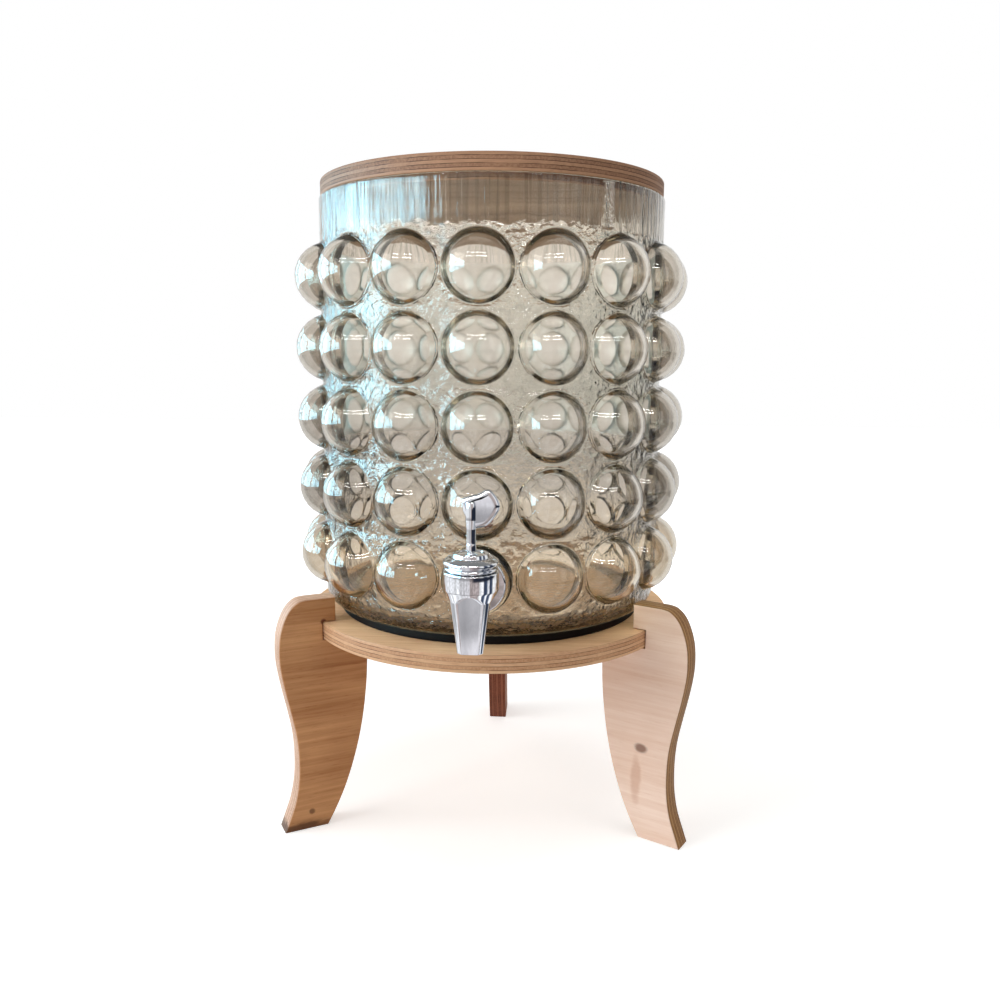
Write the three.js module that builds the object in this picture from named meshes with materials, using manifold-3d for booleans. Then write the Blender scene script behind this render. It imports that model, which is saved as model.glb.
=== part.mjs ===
// A glass water dispenser: a jar of bubble glass with a quarter turn tap, a plywood lid,
// and a plywood stand of one round board and three curved legs.
// Millimetres, +Z up. The tap faces -Y. The origin is on the floor, under the middle of the whole object.
import * as THREE from 'three';
import { mergeVertices } from 'three/addons/utils/BufferGeometryUtils.js';
import Module from 'manifold-3d';

const wasm = await Module();
wasm.setup();

// Clearances
const fitGap = 0.3; // between pieces that fit into each other
const cutOverrun = 1; // how far a cut runs past the face it opens
const weldDistance = 0.0001; // points closer than this are one point

// Glass jar
const jarRadius = 100;
const glassWall = 4;
const glassFloor = 7;
const bubblesRound = 16;
const bubbleRows = 5;
const bubbleGap = 1.9; // plain glass left between two bubbles
const bubbleReach = 15.1; // how far a bubble stands out of the wall
const neckHeight = 24.6; // plain wall above the top row
const heelHeight = 12.4; // plain wall and corner below the bottom row
const heelRound = 8.6; // outer corner at the foot of the jar
const floorRound = 5; // inner corner above the floor
const rimRound = 1.2;
const puntWidth = 9; // flat ring that the jar stands on
const puntSlope = 5;
const puntDepth = 2;

// Flat boss that takes the place of the lowest front bubble and carries the tap
const bossReach = 4.5;
const bossFlare = 1.4;
const bossInside = 2; // thicker glass behind the boss
const bossInsideWidth = 14; // radius of the flat seat inside
const shankHoleSlack = 1;

// Lid
const lidInset = 1; // lid edge inside the line of the glass
const lidThickness = 9.3;
const lidEdgeRound = 0.8;
const lidPlugThickness = 3;
const lidPlugSlack = 3.6; // between the plug disc and the glass

// Stand
const standClearHeight = 114; // floor to the underside of the board
const boardThickness = 10;
const boardMargin = 8.6; // board beyond the line of the glass
const boardEdgeRound = 0.8;
const padThickness = 5;
const padWidth = 11;
const legThickness = 12.4;
const legOutreach = 25.6; // leg beyond the edge of the board
const legInreach = 26; // leg inside the edge of the board
const lobeHeight = 14; // leg above the board
const lobeJarGap = 1.2;
const pinRadius = 1.2;
const pinInset = 3.6; // from the edge of the board
const pinDepth = 15; // into the leg below the board
const pinSink = 0.5; // below the top of the leg

// Tap
const shankRadius = 6;
const flowRadius = 3.4;
const tapWasherThickness = 1.5;
const tapWasherRadius = 13.4;
const nutThickness = 8;
const nutAcrossFlats = 22;
const nutSides = 6;
const shankTail = 4.5; // thread left beyond the nut
const flangeRadius = 15.5;
const flangeThickness = 3;
const flangeEdgeRound = 0.75;
const tapNeckRadius = 7.6;
const tapNeckLength = 10.6; // flange to the wall of the barrel
const barrelRadius = 13.3;
const barrelRise = 13.4; // barrel above the line of the shank
const shoulderRise = 4.6; // start of the shoulder above the line of the shank
const shoulderDrop = 0.6;
const nozzleTopRadius = 11.5;
const nozzleDrop = 26.4; // nozzle end below the line of the shank
const nozzleEndRadius = 7.5;
const nozzleBoreRadius = 4.2;
const facetCount = 4;
const facetRise = 3; // top of a facet above the line of the shank
const facetTopWidth = 14.6;
const facetEndWidth = 9.8;
const facetTopWall = 2.9; // left between a facet's rounded top and the plug's cavity
const facetEndWall = 2; // left between a facet and the bore at the nozzle end
const plugRadius = 6.2;
const plugLand = 1.65; // plug wall between the port and each seal ring
const plugLip = 0.6; // plug wall below the lower seal ring
const plugStep = 1.2; // bevel at the plug's head
const plugTopDrop = 2.6; // top of the plug below the top of the barrel
const stemRadius = 1.8;
const stemRise = 9.4; // stem above the bonnet
const oRingSection = 1.4;
const oRingBulge = 0.1; // seal ring proud of the plug
const bonnetRadius = 13.3;
const bonnetSkirt = 2.2;
const bonnetGroove = 0.8;
const bonnetGrooveDepth = 1.7;
const bonnetCap = 3.8;
const bonnetCapRadius = 13.5;
const bonnetCapRound = 1.3;
const bonnetBossRadius = 8.6;
const bonnetBossHeight = 1.6;

// Wing key of the tap
const keyHubRadius = 2.8;
const keyFootGap = 0.6; // between the hub and the bonnet
const keyHubHeight = 27;
const keyWingThickness = 3.4;
const keyWingReach = 13.4; // from the axis to the end of the wing
const keyWingBack = 4.4; // short side of the wing
const keyWingHeight = 19; // lowest to highest point of the wing
const keyPinRadius = 0.55;
const keyPinRise = 4; // pin above the foot of the hub
const keyPinSlack = 0.15;

// Roundness of the facets
const boardSegments = 60;
const washerSegments = 24;
const barrelSegments = 28;
const boreSegments = 16;
const smallSegments = 12;
const ringSectionSides = 6;
const holePoints = 16;
const curveSteps = 4;
const outerDomeRings = 3;
const innerDomeRings = 2;

// Sizes that follow from the ones above
const fullTurn = 2 * Math.PI;
const jarInnerRadius = jarRadius - glassWall;
const cellAngle = fullTurn / bubblesRound;
const cellHeight = cellAngle * jarRadius;
const bubbleBaseRadius = (cellHeight - bubbleGap) / 2;
const boardTop = standClearHeight + boardThickness;
const jarBase = boardTop + padThickness;
const rowsBottom = jarBase + heelHeight;
const rowsTop = rowsBottom + bubbleRows * cellHeight;
const rimTop = rowsTop + neckHeight;
const jarFloorTop = jarBase + glassFloor;
const shankHeight = rowsBottom + cellHeight / 2;
const jarFootRadius = jarRadius - heelRound;
const lidRadius = jarRadius - lidInset;
const boardRadius = jarRadius + boardMargin;
const lobeInnerRadius = jarRadius + lobeJarGap;
const legTop = boardTop + lobeHeight;
const pinPlace = boardRadius - pinInset;
const bossFace = jarRadius + bossReach;
const bossInnerFace = jarInnerRadius - bossInside;
const shankHoleRadius = shankRadius + shankHoleSlack;
const flangeBack = bossFace + tapWasherThickness;
const flangeFront = flangeBack + flangeThickness;
const tapAxis = flangeFront + tapNeckLength + barrelRadius;
const nutBack = bossInnerFace - tapWasherThickness;
const shankEnd = nutBack - nutThickness - shankTail;
const barrelTop = shankHeight + barrelRise;
const halfGroove = (oRingSection + fitGap) / 2;
const oRingOffset = flowRadius + plugLand + halfGroove;
const plugFoot = shankHeight - oRingOffset - halfGroove - plugLip;
const plugSeat = plugFoot - fitGap;
const cavityRadius = plugRadius + fitGap;
const facetTopDepth = cavityRadius + facetTopWall;
const facetEndDepth = nozzleBoreRadius + facetEndWall;
const plugTop = barrelTop - plugTopDrop;
const bonnetFoot = barrelTop + fitGap;
const bonnetTop = bonnetFoot + bonnetSkirt + bonnetGroove + bonnetCap + bonnetBossHeight;
const stemTop = bonnetTop + stemRise;
const keyFoot = bonnetTop + keyFootGap;
const keyPinHeight = keyFoot + keyPinRise;

// Every piece is a closed body in its own named mesh
const dispenser = new THREE.Group();

function finish(color, roughness, metalness) {
  return new THREE.MeshStandardMaterial({ color, roughness, metalness });
}

function addPiece(name, geometry, material, parent = dispenser) {
  const piece = new THREE.Mesh(geometry, material);
  piece.name = name;
  parent.add(piece);
  return piece;
}

// A profile of [radius, height] points turned about the vertical axis
function turned(profile, segments) {
  const points = profile.map(([radius, height]) => new THREE.Vector2(radius, height));
  return new THREE.LatheGeometry(points, segments).rotateX(Math.PI / 2);
}

// A closed ring: the profile ends where it starts
function turnedRing(profile, segments) {
  return turned([...profile, profile[0]], segments);
}

// A solid disc or rod between two heights, with both edges eased
function turnedDisc(radius, low, high, round, segments) {
  return turned([
    [0, low],
    [radius - round, low],
    [radius, low + round],
    [radius, high - round],
    [radius - round, high],
    [0, high],
  ], segments);
}

function turnedRod(radius, low, high, segments) {
  return turned([[0, low], [radius, low], [radius, high], [0, high]], segments);
}

function flatRing(inner, outer, low, high, segments) {
  return turnedRing([[inner, low], [outer, low], [outer, high], [inner, high]], segments);
}

// Lay a turned piece along the shank: its height becomes the distance in front of the jar axis
function alongShank(geometry) {
  return geometry.rotateX(Math.PI / 2).translate(0, 0, shankHeight);
}

function toSolid(geometry) {
  const bare = geometry.clone();
  bare.deleteAttribute('normal');
  bare.deleteAttribute('uv');
  const welded = mergeVertices(bare, weldDistance);
  return new wasm.Manifold(new wasm.Mesh({
    numProp: 3,
    vertProperties: Float32Array.from(welded.attributes.position.array),
    triVerts: Uint32Array.from(welded.index.array),
  }));
}

function toGeometry(solid) {
  const { vertProperties, triVerts } = solid.getMesh();
  const geometry = new THREE.BufferGeometry();
  geometry.setAttribute('position', new THREE.Float32BufferAttribute(vertProperties, 3));
  geometry.setIndex(new THREE.Uint32BufferAttribute(triVerts, 1));
  return geometry;
}

function cut(body, cutters) {
  return toGeometry(cutters.reduce((left, cutter) => left.subtract(toSolid(cutter)), toSolid(body)));
}

// The jar's skin is built from closed loops of points. Two loops that follow each other are joined
// by a band of triangles that faces outwards when the loops run from the outside to the inside.
function joinLoops(skin, from, to) {
  let a = 0;
  let b = 0;
  const stepsA = from.length > 1 ? from.length : 0;
  const stepsB = to.length > 1 ? to.length : 0;
  while (a < stepsA || b < stepsB) {
    const here = from[a % from.length];
    const there = to[b % to.length];
    const advanceA = b >= stepsB || (a < stepsA && (a + 1) * stepsB <= (b + 1) * stepsA);
    if (advanceA) {
      skin.push(here, from[(a + 1) % from.length], there);
      a += 1;
    } else {
      skin.push(here, to[(b + 1) % to.length], there);
      b += 1;
    }
  }
}

function joinAll(skin, loops) {
  for (let index = 1; index < loops.length; index += 1) {
    joinLoops(skin, loops[index - 1], loops[index]);
  }
}

// A point on a round wall: angle 0 is the front, and it grows towards +X
function wallPoint(radius, angle, height) {
  return [radius * Math.sin(angle), -radius * Math.cos(angle), height];
}

// Where the corners and side points of one bubble's square cell lie, as shares of half the cell
const thirdShare = 1 / 3;
const outerCellShares = [
  [1, 0], [1, 1], [thirdShare, 1], [-thirdShare, 1], [-1, 1],
  [-1, 0], [-1, -1], [-thirdShare, -1], [thirdShare, -1], [1, -1],
];
const innerCellShares = [[1, 0], [1, 1], [0, 1], [-1, 1], [-1, 0], [-1, -1], [0, -1], [1, -1]];
const outerBandShares = [-1, -thirdShare, thirdShare];
const innerBandShares = [-1, 0];

function cellBorder(radius, angle, height, shares) {
  return shares.map(([across, up]) => (
    wallPoint(radius, angle + across * cellAngle / 2, height + up * cellHeight / 2)
  ));
}

// A level ring of points round the jar that meets the cells' corners and side points
function levelRing(radius, height, shares) {
  const ring = [];
  for (let cell = 0; cell < bubblesRound; cell += 1) {
    for (const across of shares) {
      ring.push(wallPoint(radius, (cell + across / 2) * cellAngle, height));
    }
  }
  return ring;
}

// A circle drawn on the round wall
function wallCircle(wallRadius, angle, height, radius, count) {
  const circle = [];
  for (let index = 0; index < count; index += 1) {
    const turn = fullTurn * index / count;
    const aside = Math.asin(radius * Math.cos(turn) / wallRadius);
    circle.push(wallPoint(wallRadius, angle + aside, height + radius * Math.sin(turn)));
  }
  return circle;
}

// A circle square to the radius, at a distance from the jar's axis
function frontCircle(distance, angle, height, radius, count) {
  const circle = [];
  for (let index = 0; index < count; index += 1) {
    const turn = fullTurn * index / count;
    const aside = radius * Math.cos(turn);
    circle.push([
      distance * Math.sin(angle) + aside * Math.cos(angle),
      -distance * Math.cos(angle) + aside * Math.sin(angle),
      height + radius * Math.sin(turn),
    ]);
  }
  return circle;
}

// The loops of one dome, from its foot on the wall to its tip. The dome is part of a sphere
// that passes through the foot circle and stands out by the reach.
function domeLoops(wallRadius, angle, height, footRadius, reach, count, rings) {
  const sphereRadius = (footRadius ** 2 + reach ** 2) / (2 * reach);
  const centre = wallRadius + reach - sphereRadius;
  const footAngle = Math.atan2(footRadius, wallRadius - centre);
  const loops = [wallCircle(wallRadius, angle, height, footRadius, count)];
  for (let ring = 1; ring < rings; ring += 1) {
    const polar = footAngle * (1 - ring / rings);
    const distance = centre + sphereRadius * Math.cos(polar);
    loops.push(frontCircle(distance, angle, height, sphereRadius * Math.sin(polar), count));
  }
  loops.push([wallPoint(wallRadius + reach, angle, height)]);
  return loops;
}

function addBubble(skin, angle, height) {
  joinAll(skin, [
    cellBorder(jarRadius, angle, height, outerCellShares),
    ...domeLoops(
      jarRadius, angle, height, bubbleBaseRadius, bubbleReach, outerCellShares.length, outerDomeRings,
    ),
  ]);
  const hollowRadius = bubbleBaseRadius - glassWall;
  const hollow = domeLoops(
    jarInnerRadius, angle, height, hollowRadius, bubbleReach, innerCellShares.length, innerDomeRings,
  );
  joinAll(skin, [...hollow.reverse(), cellBorder(jarInnerRadius, angle, height, innerCellShares)]);
}

// The flat boss with the hole for the shank, from the outer wall through to the inner wall
function addBoss(skin, angle, height) {
  const outerCount = outerCellShares.length;
  joinAll(skin, [
    cellBorder(jarRadius, angle, height, outerCellShares),
    wallCircle(jarRadius, angle, height, bubbleBaseRadius, outerCount),
    frontCircle(bossFace, angle, height, bubbleBaseRadius - bossFlare, holePoints),
    frontCircle(bossFace, angle, height, shankHoleRadius, holePoints),
    frontCircle(bossInnerFace, angle, height, shankHoleRadius, holePoints),
    frontCircle(bossInnerFace, angle, height, bossInsideWidth, holePoints),
    cellBorder(jarInnerRadius, angle, height, innerCellShares),
  ]);
}

function jarGeometry() {
  const skin = [];
  for (let row = 0; row < bubbleRows; row += 1) {
    for (let column = 0; column < bubblesRound; column += 1) {
      const angle = column * cellAngle;
      const height = rowsBottom + (row + 1 / 2) * cellHeight;
      if (row === 0 && column === 0) {
        addBoss(skin, angle, height);
      } else {
        addBubble(skin, angle, height);
      }
    }
  }
  const outer = (radius, height) => levelRing(radius, height, outerBandShares);
  const inner = (radius, height) => levelRing(radius, height, innerBandShares);
  const halfCorner = 1 - Math.SQRT1_2;
  // Underside and foot, from the middle out and up to the lowest row
  joinAll(skin, [
    [[0, 0, jarBase + puntDepth]],
    outer(jarFootRadius - puntWidth - puntSlope, jarBase + puntDepth),
    outer(jarFootRadius - puntWidth, jarBase),
    outer(jarFootRadius, jarBase),
    outer(jarRadius - heelRound * halfCorner, jarBase + heelRound * halfCorner),
    outer(jarRadius, jarBase + heelRound),
    outer(jarRadius, rowsBottom),
  ]);
  // Neck and rim, from the top row up, over the rim and down inside
  joinAll(skin, [
    outer(jarRadius, rowsTop),
    outer(jarRadius, rimTop - rimRound),
    outer(jarRadius - rimRound, rimTop),
    inner(jarInnerRadius + rimRound, rimTop),
    inner(jarInnerRadius, rimTop - rimRound),
    inner(jarInnerRadius, rowsTop),
  ]);
  // Inside, from the lowest row down to the middle of the floor
  joinAll(skin, [
    inner(jarInnerRadius, rowsBottom),
    inner(jarInnerRadius, jarFloorTop + floorRound),
    inner(jarInnerRadius - floorRound * halfCorner, jarFloorTop + floorRound * halfCorner),
    inner(jarInnerRadius - floorRound, jarFloorTop),
    [[0, 0, jarFloorTop]],
  ]);
  const loose = new THREE.BufferGeometry();
  loose.setAttribute('position', new THREE.Float32BufferAttribute(skin.flat(), 3));
  return mergeVertices(loose, weldDistance);
}

function addJar() {
  addPiece('glass_jar', jarGeometry(), finish('#c9cbb4', 0.05, 0));
}

function addLid() {
  const plywood = finish('#8a5f45', 0.6, 0);
  const lidTop = rimTop + lidThickness;
  const plugRadiusInJar = jarInnerRadius - lidPlugSlack;
  addPiece('lid_board', turnedDisc(lidRadius, rimTop, lidTop, lidEdgeRound, boardSegments), plywood);
  const plugLow = rimTop - lidPlugThickness;
  addPiece('lid_plug', turnedRod(plugRadiusInJar, plugLow, rimTop, boardSegments), plywood);
}

// Three legs, evenly round the board from the back one. Each is drawn along +X of its own turned group.
const legNames = ['back', 'left', 'right'];

// The outer edge below the board's underside, foot first: [share of legOutreach, share of standClearHeight]
const legShinShares = [
  [0.98, 0], [0.87, 0.065], [0.73, 0.155], [0.645, 0.26], [0.625, 0.38],
  [0.66, 0.5], [0.765, 0.625], [0.9, 0.765], [0.985, 0.88], [1, 0.965],
];
// The outer edge above it: [share of legOutreach, share of the height up to the top of the leg]
const legShoulderShares = [[0.965, 0.21], [0.86, 0.565], [0.725, 0.81], [0.55, 0.96], [0.37, 1]];
// The inner edge, board first: [share of legInreach, share of standClearHeight]
const legCalfShares = [
  [1, 0.86], [0.965, 0.72], [0.865, 0.545], [0.71, 0.385], [0.495, 0.23], [0.27, 0.11], [0.01, 0],
];

function legShape() {
  const shinPoints = legShinShares.map(([out, up]) => (
    new THREE.Vector2(boardRadius + out * legOutreach, up * standClearHeight)
  ));
  const shoulderPoints = legShoulderShares.map(([out, up]) => (
    new THREE.Vector2(boardRadius + out * legOutreach, standClearHeight + up * (legTop - standClearHeight))
  ));
  const calfPoints = legCalfShares.map(([into, up]) => (
    new THREE.Vector2(boardRadius - into * legInreach, up * standClearHeight)
  ));
  const [foot, ...outerEdge] = [...shinPoints, ...shoulderPoints];
  const slotEnd = boardRadius + fitGap;
  const shape = new THREE.Shape();
  shape.moveTo(foot.x, foot.y);
  shape.splineThru(outerEdge);
  shape.lineTo(lobeInnerRadius, legTop);
  shape.lineTo(lobeInnerRadius, boardTop + fitGap);
  shape.lineTo(slotEnd, boardTop + fitGap);
  shape.lineTo(slotEnd, standClearHeight - fitGap);
  shape.lineTo(boardRadius - legInreach, standClearHeight - fitGap);
  shape.splineThru(calfPoints);
  return shape;
}

function legGeometry() {
  const plate = new THREE.ExtrudeGeometry(legShape(), {
    depth: legThickness,
    bevelEnabled: false,
    curveSegments: curveSteps,
  });
  plate.translate(0, 0, -legThickness / 2).rotateX(Math.PI / 2);
  const holeLow = standClearHeight - pinDepth - fitGap;
  const hole = turnedRod(pinRadius + fitGap, holeLow, legTop + cutOverrun, smallSegments);
  return cut(plate, [hole.translate(pinPlace, 0, 0)]);
}

function addStand() {
  const legPlywood = finish('#ad7d5b', 0.65, 0);
  const boardPlywood = finish('#c9a184', 0.6, 0);
  const board = turnedDisc(boardRadius, standClearHeight, boardTop, boardEdgeRound, boardSegments);
  const pinHoles = [];
  legNames.forEach((name, index) => {
    const turn = fullTurn / 4 + index * fullTurn / legNames.length;
    const place = new THREE.Group();
    place.rotation.z = turn;
    dispenser.add(place);
    addPiece(`leg_${name}`, legGeometry(), legPlywood, place);
    const pinLow = standClearHeight - pinDepth;
    const pin = turnedRod(pinRadius, pinLow, legTop - pinSink, smallSegments);
    addPiece(`leg_pin_${name}`, pin.translate(pinPlace, 0, 0), finish('#8d8d8a', 0.35, 1), place);
    const hole = turnedRod(
      pinRadius + fitGap, standClearHeight - cutOverrun, boardTop + cutOverrun, smallSegments,
    );
    pinHoles.push(hole.translate(pinPlace, 0, 0).rotateZ(turn));
  });
  addPiece('stand_board', cut(board, pinHoles), boardPlywood);
  const pad = flatRing(jarFootRadius - padWidth, jarFootRadius, boardTop, jarBase, boardSegments);
  addPiece('jar_pad', pad, finish('#141210', 0.9, 0));
}

// The barrel and nozzle in one turned piece, before the facets
function tapBarrel() {
  const shoulderTop = shankHeight + shoulderRise;
  const shoulderLow = shankHeight - shoulderDrop;
  const nozzleEnd = shankHeight - nozzleDrop;
  const shoulderMid = (shoulderTop + shoulderLow) / 2;
  const shoulderMidRadius = nozzleTopRadius + (barrelRadius - nozzleTopRadius) * Math.SQRT1_2;
  return turned([
    [0, nozzleEnd],
    [nozzleEndRadius, nozzleEnd],
    [nozzleTopRadius, shoulderLow],
    [shoulderMidRadius, shoulderMid],
    [barrelRadius, shoulderTop],
    [barrelRadius, barrelTop],
    [0, barrelTop],
  ], barrelSegments).translate(0, -tapAxis, 0);
}

// One cutter for a long flat facet with a rounded top, leaning from the nozzle end out to its top
function facetCutter(turn) {
  const length = nozzleDrop + facetRise;
  const topHalf = facetTopWidth / 2;
  const endHalf = facetEndWidth / 2;
  const lean = Math.atan2(facetTopDepth - facetEndDepth, length);
  const shape = new THREE.Shape();
  shape.moveTo(-endHalf, -cutOverrun);
  shape.lineTo(endHalf, -cutOverrun);
  shape.lineTo(topHalf, length - topHalf);
  shape.absarc(0, length - topHalf, topHalf, 0, Math.PI, false);
  const cutter = new THREE.ExtrudeGeometry(shape, {
    depth: barrelRadius,
    bevelEnabled: false,
    curveSegments: smallSegments,
  });
  return cutter
    .rotateX(Math.PI / 2)
    .rotateX(lean)
    .translate(0, -facetEndDepth, shankHeight - nozzleDrop)
    .rotateZ(turn)
    .translate(0, -tapAxis, 0);
}

function tapBodyGeometry() {
  const shank = alongShank(turnedRod(shankRadius, shankEnd, tapAxis, boreSegments));
  const flange = alongShank(turnedDisc(
    flangeRadius, flangeBack, flangeFront, flangeEdgeRound, washerSegments,
  ));
  const neck = alongShank(turnedRod(tapNeckRadius, flangeBack, tapAxis, boreSegments));
  let barrel = toSolid(tapBarrel());
  for (let facet = 0; facet < facetCount; facet += 1) {
    barrel = barrel.subtract(toSolid(facetCutter(fullTurn * facet / facetCount)));
  }
  const whole = barrel.add(toSolid(shank)).add(toSolid(flange)).add(toSolid(neck));
  const onAxis = (rod) => toSolid(rod.translate(0, -tapAxis, 0));
  const cavity = onAxis(turnedRod(cavityRadius, plugSeat, barrelTop + cutOverrun, boreSegments));
  const spout = onAxis(turnedRod(
    nozzleBoreRadius, shankHeight - nozzleDrop - cutOverrun, plugSeat + cutOverrun, boreSegments,
  ));
  const flow = toSolid(alongShank(turnedRod(flowRadius, shankEnd - cutOverrun, tapAxis, boreSegments)));
  return toGeometry(whole.subtract(cavity).subtract(spout).subtract(flow));
}

// The plug turns in the barrel. Its water way comes in at one side and leaves at its foot.
function tapPlugGeometry() {
  const grooveRadius = plugRadius - oRingSection;
  const groove = (middle) => [
    [plugRadius, middle - halfGroove],
    [grooveRadius, middle - halfGroove],
    [grooveRadius, middle + halfGroove],
    [plugRadius, middle + halfGroove],
  ];
  const profile = [
    [0, plugFoot],
    [plugRadius, plugFoot],
    ...groove(shankHeight - oRingOffset),
    ...groove(shankHeight + oRingOffset),
    [plugRadius, plugTop - plugStep],
    [plugRadius - plugStep, plugTop],
    [stemRadius, plugTop],
    [stemRadius, stemTop],
    [0, stemTop],
  ];
  const body = turned(profile, boreSegments);
  const drain = turnedRod(flowRadius, plugFoot - cutOverrun, shankHeight, smallSegments);
  const port = turnedRod(flowRadius, 0, plugRadius + cutOverrun, smallSegments)
    .rotateY(-Math.PI / 2)
    .translate(0, 0, shankHeight);
  const pinHole = turnedRod(
    keyPinRadius + keyPinSlack, -stemRadius - cutOverrun, stemRadius + cutOverrun, ringSectionSides,
  ).rotateX(Math.PI / 2).translate(0, 0, keyPinHeight);
  return cut(body, [drain, port, pinHole]).translate(0, -tapAxis, 0);
}

function oRingGeometry(height) {
  const section = oRingSection / 2;
  const middle = plugRadius - section + oRingBulge;
  const profile = [];
  for (let side = 0; side < ringSectionSides; side += 1) {
    const turn = fullTurn * side / ringSectionSides;
    profile.push([middle + section * Math.cos(turn), height + section * Math.sin(turn)]);
  }
  return turnedRing(profile, boreSegments).translate(0, -tapAxis, 0);
}

function bonnetGeometry() {
  const skirtTop = bonnetFoot + bonnetSkirt;
  const grooveTop = skirtTop + bonnetGroove;
  const capTop = grooveTop + bonnetCap;
  const bore = stemRadius + fitGap;
  return turnedRing([
    [bore, plugTop + fitGap],
    [plugRadius - plugStep, plugTop + fitGap],
    [plugRadius - plugStep, bonnetFoot],
    [bonnetRadius, bonnetFoot],
    [bonnetRadius, skirtTop],
    [bonnetRadius - bonnetGrooveDepth, skirtTop],
    [bonnetRadius - bonnetGrooveDepth, grooveTop],
    [bonnetCapRadius, grooveTop],
    [bonnetCapRadius, capTop - bonnetCapRound],
    [bonnetCapRadius - bonnetCapRound, capTop],
    [bonnetBossRadius, capTop],
    [bonnetBossRadius - bonnetBossHeight / 2, bonnetTop],
    [bore, bonnetTop],
  ], barrelSegments).translate(0, -tapAxis, 0);
}

// The wing seen from the front: [share of keyWingReach or, left of the axis, of keyWingBack, share of height]
const wingEdgeShares = [[0.5, 0.06], [0.8, 0.26], [1, 0.52], [0.93, 0.76], [0.62, 1], [0.3, 0.9]];
const wingBackShares = [[0.6, 0.8], [1, 0.7], [0.9, 0.45]];

function keyGeometry() {
  const wingTop = keyFoot + keyHubHeight + keyHubRadius;
  const wingFoot = wingTop - keyWingHeight;
  const edge = wingEdgeShares.map(([out, up]) => (
    new THREE.Vector2(out * keyWingReach, wingFoot + up * keyWingHeight)
  ));
  const back = wingBackShares.map(([out, up]) => (
    new THREE.Vector2(-out * keyWingBack, wingFoot + up * keyWingHeight)
  ));
  const shape = new THREE.Shape();
  shape.moveTo(0, wingFoot);
  shape.splineThru(edge);
  shape.splineThru(back);
  shape.lineTo(-keyHubRadius / 2, wingFoot + keyHubRadius);
  const wing = new THREE.ExtrudeGeometry(shape, {
    depth: keyWingThickness,
    bevelEnabled: false,
    curveSegments: curveSteps,
  }).translate(0, 0, -keyWingThickness / 2).rotateX(Math.PI / 2);
  const hub = turnedRod(keyHubRadius, keyFoot, keyFoot + keyHubHeight - keyHubRadius, smallSegments);
  const socket = turnedRod(stemRadius + fitGap, keyFoot - cutOverrun, stemTop + fitGap, smallSegments);
  const pinHole = turnedRod(
    keyPinRadius + keyPinSlack, -keyHubRadius - cutOverrun, keyHubRadius + cutOverrun, ringSectionSides,
  ).rotateX(Math.PI / 2).translate(0, 0, keyPinHeight);
  const key = toSolid(hub).add(toSolid(wing)).subtract(toSolid(socket)).subtract(toSolid(pinHole));
  return toGeometry(key).translate(0, -tapAxis, 0);
}

function nutGeometry() {
  const corner = nutAcrossFlats / 2 / Math.cos(fullTurn / nutSides / 2);
  const hexagon = turnedRod(corner, nutBack - nutThickness, nutBack, nutSides);
  const bore = turnedRod(
    shankRadius + fitGap, nutBack - nutThickness - cutOverrun, nutBack + cutOverrun, boreSegments,
  );
  return alongShank(cut(hexagon, [bore]));
}

function tapWasher(low) {
  const high = low + tapWasherThickness;
  return alongShank(flatRing(shankRadius + fitGap, tapWasherRadius, low, high, washerSegments));
}

function addTap() {
  const chrome = finish('#d8dadc', 0.12, 1);
  const rubber = finish('#1c1a18', 0.85, 0);
  addPiece('tap_body', tapBodyGeometry(), chrome);
  addPiece('tap_bonnet', bonnetGeometry(), chrome);
  addPiece('tap_plug', tapPlugGeometry(), finish('#b9a25c', 0.35, 1));
  addPiece('o_ring_upper', oRingGeometry(shankHeight + oRingOffset), rubber);
  addPiece('o_ring_lower', oRingGeometry(shankHeight - oRingOffset), rubber);
  addPiece('tap_key', keyGeometry(), chrome);
  const keyPin = turnedRod(keyPinRadius, -keyHubRadius, keyHubRadius, ringSectionSides);
  addPiece('key_pin', keyPin.rotateX(Math.PI / 2).translate(0, -tapAxis, keyPinHeight), chrome);
  addPiece('outer_washer', tapWasher(bossFace), rubber);
  addPiece('inner_washer', tapWasher(nutBack), rubber);
  addPiece('shank_nut', nutGeometry(), finish('#c4c6c8', 0.25, 1));
}

addStand();
addJar();
addLid();
addTap();

// Centre the whole object over the origin: the tap reaches further forward than the back leg reaches back
const reach = new THREE.Box3().setFromObject(dispenser);
dispenser.position.y = -(reach.min.y + reach.max.y) / 2;
dispenser.updateMatrixWorld(true);

export default dispenser;
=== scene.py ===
import math

import bmesh
import bpy
import numpy as np
from mathutils import Matrix, Vector


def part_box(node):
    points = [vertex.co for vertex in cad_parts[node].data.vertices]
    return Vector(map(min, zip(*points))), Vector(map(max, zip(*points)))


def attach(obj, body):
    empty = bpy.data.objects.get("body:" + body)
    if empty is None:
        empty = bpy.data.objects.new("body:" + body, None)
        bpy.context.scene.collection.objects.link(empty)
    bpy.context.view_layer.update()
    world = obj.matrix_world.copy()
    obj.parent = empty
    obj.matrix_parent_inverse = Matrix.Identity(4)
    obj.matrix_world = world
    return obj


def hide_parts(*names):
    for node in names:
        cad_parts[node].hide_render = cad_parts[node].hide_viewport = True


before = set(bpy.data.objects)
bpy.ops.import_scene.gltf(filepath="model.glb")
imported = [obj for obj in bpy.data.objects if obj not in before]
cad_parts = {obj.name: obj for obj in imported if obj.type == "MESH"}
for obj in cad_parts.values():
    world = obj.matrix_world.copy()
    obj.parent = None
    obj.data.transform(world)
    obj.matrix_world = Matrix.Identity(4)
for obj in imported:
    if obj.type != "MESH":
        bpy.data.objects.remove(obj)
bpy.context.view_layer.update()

# A glass water dispenser: a jar of bubble glass with a tap, a plywood lid and a plywood stand.
# Metres. The jar's axis and all levels come from the frame.
scene = bpy.context.scene
tau = 2 * math.pi

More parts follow.
